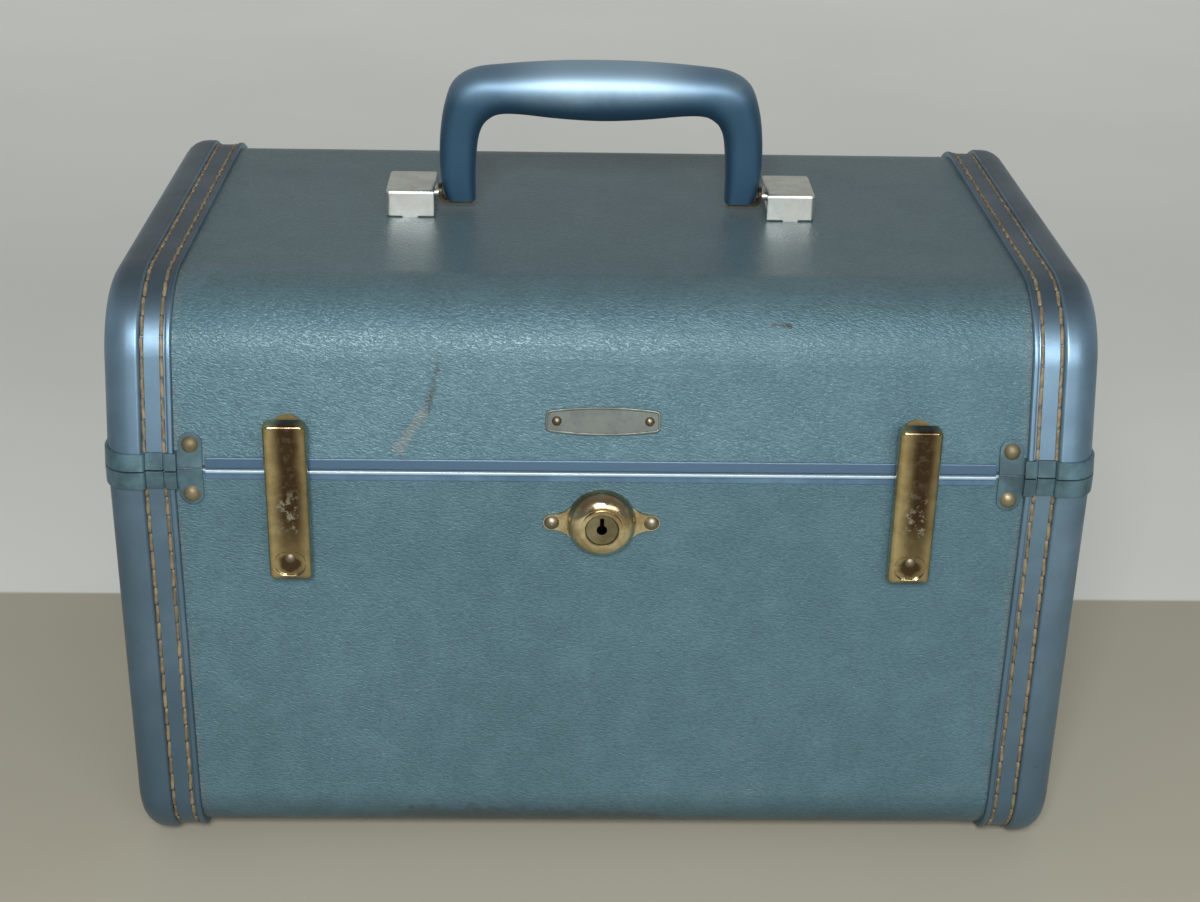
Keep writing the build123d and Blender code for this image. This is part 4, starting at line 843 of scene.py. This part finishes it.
# Latches. Each hasp is stamped from brass and gilt, with a dish pressed near its foot and a
# small rivet below it. The gilding is painted dark brown down the middle and towards the top,
# partly tarnish and partly a painted dark reflection, with painted shade in the dish, and it is
# bitten where the hand knocks it. The keeper behind its top is a plate of dull brass, riveted
# to the lid.

hasp_gilt = srgb(212, 196, 150)
hasp_dull = srgb(184, 166, 122)
tarnish_and_reflection_colour = srgb(66, 48, 34)
bitten_colour = srgb(186, 182, 168)
latch_middle = 0.1105
tarnish_reflection_foot = 0.130
tarnish_reflection_full = 0.148
reflection_band_shift = 0.0011
reflection_band_core = 0.0016
reflection_band_end = 0.0076
dish_height = 0.1277
dish_shade_core = 0.0026
dish_shade_end = 0.0054
bite_foot = 0.137
bite_full = 0.144
bite_fade = 0.150
bite_top = 0.160
bite_core = 0.003
bite_end = 0.005

latch_gilt = plated("latch_gilt", hasp_gilt, hasp_dull, pit_colour, 0.12, edge=0.0003)
height = latch_gilt.axis("Z")
ragged = latch_gilt.math("ADD", height, latch_gilt.waver(0.008, 90.0, 4.0, 0.6))
# Dark brown is painted towards the top and down the middle of each hasp: tarnish, and a painted
# dark reflection.
tarnish_and_reflection = latch_gilt.ramp(ragged, tarnish_reflection_foot, tarnish_reflection_full, 0.55, 0.95)
across = latch_gilt.axis("X")
nearest = latch_gilt.math("MULTIPLY", latch_gilt.math("SIGN", across), latch_middle)
aside = latch_gilt.math("SUBTRACT", across, nearest)
off_band = latch_gilt.math("ABSOLUTE", latch_gilt.math("SUBTRACT", aside, reflection_band_shift))
off_band = latch_gilt.math("ADD", off_band, latch_gilt.waver(0.0015, 90.0, 2.0))
band = latch_gilt.ramp(off_band, reflection_band_core, reflection_band_end, 1.0, 0.0)
tarnish_and_reflection = latch_gilt.math("MULTIPLY", tarnish_and_reflection, band)
# In the pressed dish the gilding is painted dark as shade.
above_dish = latch_gilt.math("SUBTRACT", height, dish_height)
from_dish = latch_gilt.node("ShaderNodeCombineXYZ", {0: aside, 1: above_dish}).outputs[0]
from_dish = latch_gilt.vector("LENGTH", from_dish).outputs[1]
from_dish = latch_gilt.math("ADD", from_dish, latch_gilt.waver(0.002, 260.0))
dish_shade = latch_gilt.ramp(from_dish, dish_shade_core, dish_shade_end, 0.9, 0.0)
tarnish_and_reflection = latch_gilt.math("MAXIMUM", tarnish_and_reflection, dish_shade)
colour = latch_gilt.mix(tarnish_and_reflection, latch_gilt.colour_so_far(), tarnish_and_reflection_colour)
bitten = latch_gilt.ramp(latch_gilt.noise(420.0, 5.0, 0.7), 0.50, 0.62)
for reach in (
    latch_gilt.ramp(height, bite_foot, bite_full),
    latch_gilt.ramp(height, bite_fade, bite_top, 1.0, 0.15),
    latch_gilt.ramp(latch_gilt.math("ABSOLUTE", aside), bite_core, bite_end, 0.8, 0.0),
):
    bitten = latch_gilt.math("MULTIPLY", bitten, reach)
latch_gilt.set(Base_Color=latch_gilt.mix(bitten, colour, bitten_colour))
keeper_brass = plated("keeper_brass", srgb(112, 98, 58), srgb(78, 68, 40), pit_colour, 0.4)
keeper_brass.set(Metallic=0.5)
latch_metal = {
    "latch_hasp": latch_gilt,
    "latch_hasp_rivet": rivet_grey,
    "latch_keeper": keeper_brass,
}
for side in both_sides:
    for kind, finish in latch_metal.items():
        fitting = smooth_copy(f"{kind}_{side}")
        give(fitting, finish.material)

# Plain fittings behind and inside: the latch bases, hooks, pins and springs, and the lock's
# case, bolt, nut and striker. They are punched, bent or turned from steel and thinly plated,
# and small rivets, a pin or the nut hold them.

steel = plated("latch_steel", srgb(176, 170, 156), srgb(112, 104, 90), srgb(60, 52, 44), 0.3)
hidden_metal = ["lock_case", "lock_bolt", "lock_nut", "lock_striker"]
for side in both_sides:
    hidden_metal += [f"latch_{kind}_{side}" for kind in ("base", "hook", "pin", "spring")]
for node in hidden_metal:
    fitting = smooth_copy(node)
    give(fitting, steel.material)

# Channel rivets. They are turned from brass that has gone brown, with domed heads, and go
# through the tabs of the channels into the boards.

aged = plated("aged_brass", srgb(140, 132, 106), srgb(110, 102, 78), srgb(72, 62, 46), 0.46)
aged.set(Metallic=0.7)
for part in side_shapes:
    rivets = smooth_copy(f"{part}_channel_rivets")
    give(rivets, aged.material)

# Hinges and small rivets. Each hinge is two stamped, brass-plated leaves curled round a pin,
# one riveted to the back of the body and one to the lid. Small rivets of the same plate hold
# the latches, the keepers and the lock's striker.

hinge = plated("hinge_metal", srgb(186, 168, 122), srgb(126, 108, 72), srgb(64, 52, 36), 0.28)
for node in (
    "hinge_body_leaves",
    "hinge_lid_leaves",
    "hinge_pins",
    "body_fixing_rivets",
    "lid_fixing_rivets",
):
    fitting = smooth_copy(node)
    give(fitting, hinge.material)

# Handle brackets, links, pins and their fastenings. The brackets are stamped and plated with
# satin nickel, over bases that rivets and screws hold on the lid. The bent links turn on
# pins in them, and their plate is painted dark as shade under the handle's legs.

satin_nickel = srgb(220, 222, 216)
rubbed_nickel = srgb(204, 204, 196)
nickel = plated(
    "nickel", satin_nickel, rubbed_nickel, rubbed_nickel, 0.36, edge=0.0006, dents=0.05
)
# The links are painted dark as shade under the handle's legs.
shaded_link_metal = plated("worn_nickel", srgb(84, 76, 60), srgb(58, 52, 40), pit_colour, 0.42)
handle_metal = ["handle_bases", "handle_pins", "handle_rivets", "handle_screws"]
for side in both_sides:
    handle_metal += [f"handle_bracket_{side}", f"handle_link_{side}"]
for node in handle_metal:
    fitting = smooth_copy(node)
    give(fitting, shaded_link_metal.material if "link" in node else nickel.material)

# The handle is a moulding of metallic blue plastic over the tips of the links, full and
# round over the bar and flatter down its legs. A highlight is painted pale along the top of
# the bar, strongest in the middle, and it is marked where it has been knocked.

handle_y = -0.0005
# Each section of one half: its point underneath, its point outside, its depth and its round.
grip_sections = [
    ((0.0484, 0.0040), (0.0592, 0.0040), 0.0106, 0.0030),
    ((0.0484, 0.0090), (0.0609, 0.0090), 0.0122, 0.0034),
    ((0.0482, 0.0170), (0.0619, 0.0170), 0.0142, 0.0040),
    ((0.0472, 0.0275), (0.0617, 0.0295), 0.0165, 0.0050),
    ((0.0454, 0.0332), (0.0600, 0.0410), 0.0186, 0.0066),
    ((0.0426, 0.0363), (0.0564, 0.0498), 0.0202, 0.0082),
    ((0.0386, 0.0379), (0.0486, 0.0547), 0.0212, 0.0090),
    ((0.0310, 0.0378), (0.0360, 0.0566), 0.0220, 0.0095),
    ((0.0166, 0.0364), (0.0180, 0.0579), 0.0230, 0.0104),
    ((0.0000, 0.0356), (0.0000, 0.0583), 0.0234, 0.0110),
]
grip_highlight_from = lid_top + 0.041
grip_highlight_to = lid_top + 0.053
grip_highlight_half = 0.014
grip_highlight_end = 0.044
grip_steps = 6
grip_facets = 48
grip_squareness = 4.6
shell_angle = 50.0
grip_highlight_colour = srgb(146, 172, 190)
grip_dark = srgb(56, 92, 118)
grip_worn = srgb(120, 140, 140)
knock_colour = srgb(120, 60, 60)

grip_paint = Finish("handle_plastic")
ragged = grip_paint.math("ADD", grip_paint.axis("Z"), grip_paint.waver(0.006, 30.0, 5.0, 0.6))
# A pale highlight is painted along the top of the bar, fading towards its ends.
painted_highlight = grip_paint.ramp(ragged, grip_highlight_from, grip_highlight_to)
off_middle = grip_paint.math("ABSOLUTE", grip_paint.axis("X"))
off_middle = grip_paint.ramp(off_middle, grip_highlight_half, grip_highlight_end, 1.0, 0.35)
painted_highlight = grip_paint.math("MULTIPLY", painted_highlight, off_middle)
colour = grip_paint.mix(painted_highlight, grip_dark, grip_highlight_colour)
rubbed = streak(grip_paint, (0.046, -0.010, 0.2790), (0.053, -0.009, 0.2750), 0.004, 160.0, 3)
colour = grip_paint.mix(grip_paint.math("MULTIPLY", rubbed, 0.5), colour, grip_worn)
for start, end in (
    ((0.0455, -0.0105, 0.2600), (0.0465, -0.0105, 0.2590)),
    ((0.0335, -0.0115, 0.2612), (0.0345, -0.0115, 0.2612)),
):
    knock = streak(grip_paint, start, end, 0.0006, 500.0, 5)
    colour = grip_paint.mix(grip_paint.math("MULTIPLY", knock, 0.7), colour, knock_colour)
grip_paint.set(Base_Color=colour, Metallic=0.8, Roughness=0.54)
grip_paint.set(Coat_Weight=0.35, Coat_Roughness=0.45)


def between(before, start, stop, after, part):
    """A value part of the way from start to stop, on a smooth curve through all four."""
    bend = 2 * before - 5 * start + 4 * stop - after
    twist = 3 * (start - stop) + after - before
    return start + part / 2 * (stop - before + part * (bend + part * twist))


def skin(name, rings):
    """A closed mesh stretched over rings of points, with a face at each end."""
    work = bmesh.new()
    hoops = [[work.verts.new(place) for place in ring] for ring in rings]
    for hoop, following in zip(hoops, hoops[1:]):
        for number in range(len(hoop)):
            ahead = (number + 1) % len(hoop)
            work.faces.new((hoop[number], hoop[ahead], following[ahead], following[number]))
    work.faces.new(hoops[0])
    work.faces.new(hoops[-1])
    return finished(name, work, shell_angle)


one_half = [(*inner, *outer, *rest) for inner, outer, *rest in grip_sections]
other_half = [(-inner, under, -outer, *rest) for inner, under, outer, *rest in one_half[:-1]]
whole = other_half + one_half[::-1]
padded = [whole[0]] + whole + [whole[-1]]
stations = [whole[0]]
for four in zip(padded, padded[1:], padded[2:], padded[3:]):
    for step in range(1, grip_steps + 1):
        stations.append([between(*values, step / grip_steps) for values in zip(*four)])

rings = []
for inner_x, inner_up, outer_x, outer_up, depth, rounding in stations:
    across = Vector((outer_x - inner_x, 0, outer_up - inner_up))
    middle = Vector(((inner_x + outer_x) / 2, handle_y, lid_top + (inner_up + outer_up) / 2))
    wide, deep = across.length / 2, depth / 2
    flatness = 1 - rounding / min(wide, deep)
    fullness = 2 / (2 + grip_squareness * flatness)
    ring = []
    for number in range(grip_facets):
        angle = 2 * pi * number / grip_facets
        along_width = copysign(abs(cos(angle)) ** fullness, cos(angle)) * wide
        along_depth = copysign(abs(sin(angle)) ** fullness, sin(angle)) * deep
        ring.append(middle + across.normalized() * along_width + Vector((0, along_depth, 0)))
    rings.append(ring)
grip = new_piece("handle_grip_moulding", skin("handle_grip", rings))
give(grip, grip_paint.material)
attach(grip, "handle")
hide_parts("handle_grip")

# The nameplate is a plain strip pressed from thin grey metal, with a narrow raised rim and
# bowed long edges. Two small pins hold it on the lid's front.

plate_half_length = 0.0202
plate_half_end = 0.0037
plate_bow = 0.0014
plate_gauge = 0.0009
plate_rim = 0.0008
plate_field = 0.0005
plate_rise = 0.0184
plate_edge = 0.00015
plate_corner_room = 1.2
plate_corner_steps = 5
bow_steps = 24

plate = plated("plate_metal", srgb(104, 110, 105), srgb(86, 92, 88), srgb(70, 72, 68), 0.36)
plate.set(Metallic=0.6)


def plate_outline(inset):
    """The plate's outline: short straight ends and bowed long edges."""
    length, end = plate_half_length - inset, plate_half_end - inset
    corner = end / 2
    arc = (length**2 + plate_bow**2) / (2 * plate_bow)
    long_edge = []
    for step in range(bow_steps + 1):
        x = (length - plate_corner_room * corner) * (2 * step / bow_steps - 1)
        long_edge.append((x, end + plate_bow - arc + (arc**2 - x**2) ** 0.5, 0))
    upper = [(-length, end, corner)] + long_edge + [(length, end, corner)]
    lower = [(-x, -y, radius) for x, y, radius in upper]
    return rounded(upper + lower, plate_corner_steps)


rings = []
for inset, height in (
    (0.0, 0.0),
    (0.0, plate_gauge - plate_edge),
    (plate_edge, plate_gauge),
    (plate_rim - plate_edge, plate_gauge),
    (plate_rim, plate_gauge - plate_edge),
    (plate_rim, plate_field),
):
    ring = []
    for spot in plate_outline(inset):
        rise = plate_rise + spot.y
        y = -half_depth + rise * sin(lean) - height * cos(lean)
        z = closing + rise * cos(lean) + height * sin(lean)
        ring.append((spot.x, y, z))
    rings.append(ring)
nameplate = new_piece("nameplate_pressing", skin("nameplate", rings))
even_normals(nameplate)
give(nameplate, plate.material)
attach(nameplate, "lid")
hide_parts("nameplate")

pins = smooth_copy("nameplate_pins")
pin_brass = plated("plate_pins", srgb(128, 118, 100), srgb(92, 84, 70), srgb(50, 44, 36), 0.34)
give(pins, pin_brass.material)

# Boards. The walls of the body and the lid are bent and glued from thin wooden board, bare
# under their cover. Two ledges of the same board carry the tray.

board = Finish("board")
streaks = board.noise(40.0, 6.0, 0.6, at=board.stretch(0.15, 1.0, 1.0))
board.set(Base_Color=board.mix(streaks, srgb(150, 124, 92), srgb(196, 172, 136)), Roughness=0.7)
for node in ("body_shell", "lid_shell", "tray_ledges"):
    wood = smooth_copy(node)
    give(wood, board.material)

# Lining. It is plain pale blue satin with a faint sheen, cut to size and glued flat to the
# boards inside the body and the lid.

lining = Finish("lining_cloth")
lining.set(Base_Color=srgb(168, 188, 196), Roughness=0.6, Sheen_Weight=0.3)
for node in ("body_lining", "lid_lining"):
    cloth = smooth_copy(node)
    give(cloth, lining.material)

# The tray holds small things and lifts out. It is moulded in one piece from pale blue
# plastic and rests loose on the two ledges.

tray_paint = Finish("tray_plastic")
tray_paint.set(Base_Color=srgb(160, 182, 192), Roughness=0.4)
tray = smooth_copy("tray")
give(tray, tray_paint.material)

# The mirror is a pane of silvered glass inside the lid. A frame of folded metal with a
# satin plate runs round its edge and holds it.

silver = Finish("mirror_silver")
silver.set(Base_Color=(0.85, 0.87, 0.88, 1.0), Metallic=1.0, Roughness=0.03)
glass = smooth_copy("lid_mirror")
give(glass, silver.material)

satin = plated("frame_metal", srgb(196, 192, 180), srgb(160, 156, 144), srgb(100, 96, 86), 0.3)
mirror_frame = smooth_copy("lid_mirror_frame")
give(mirror_frame, satin.material)
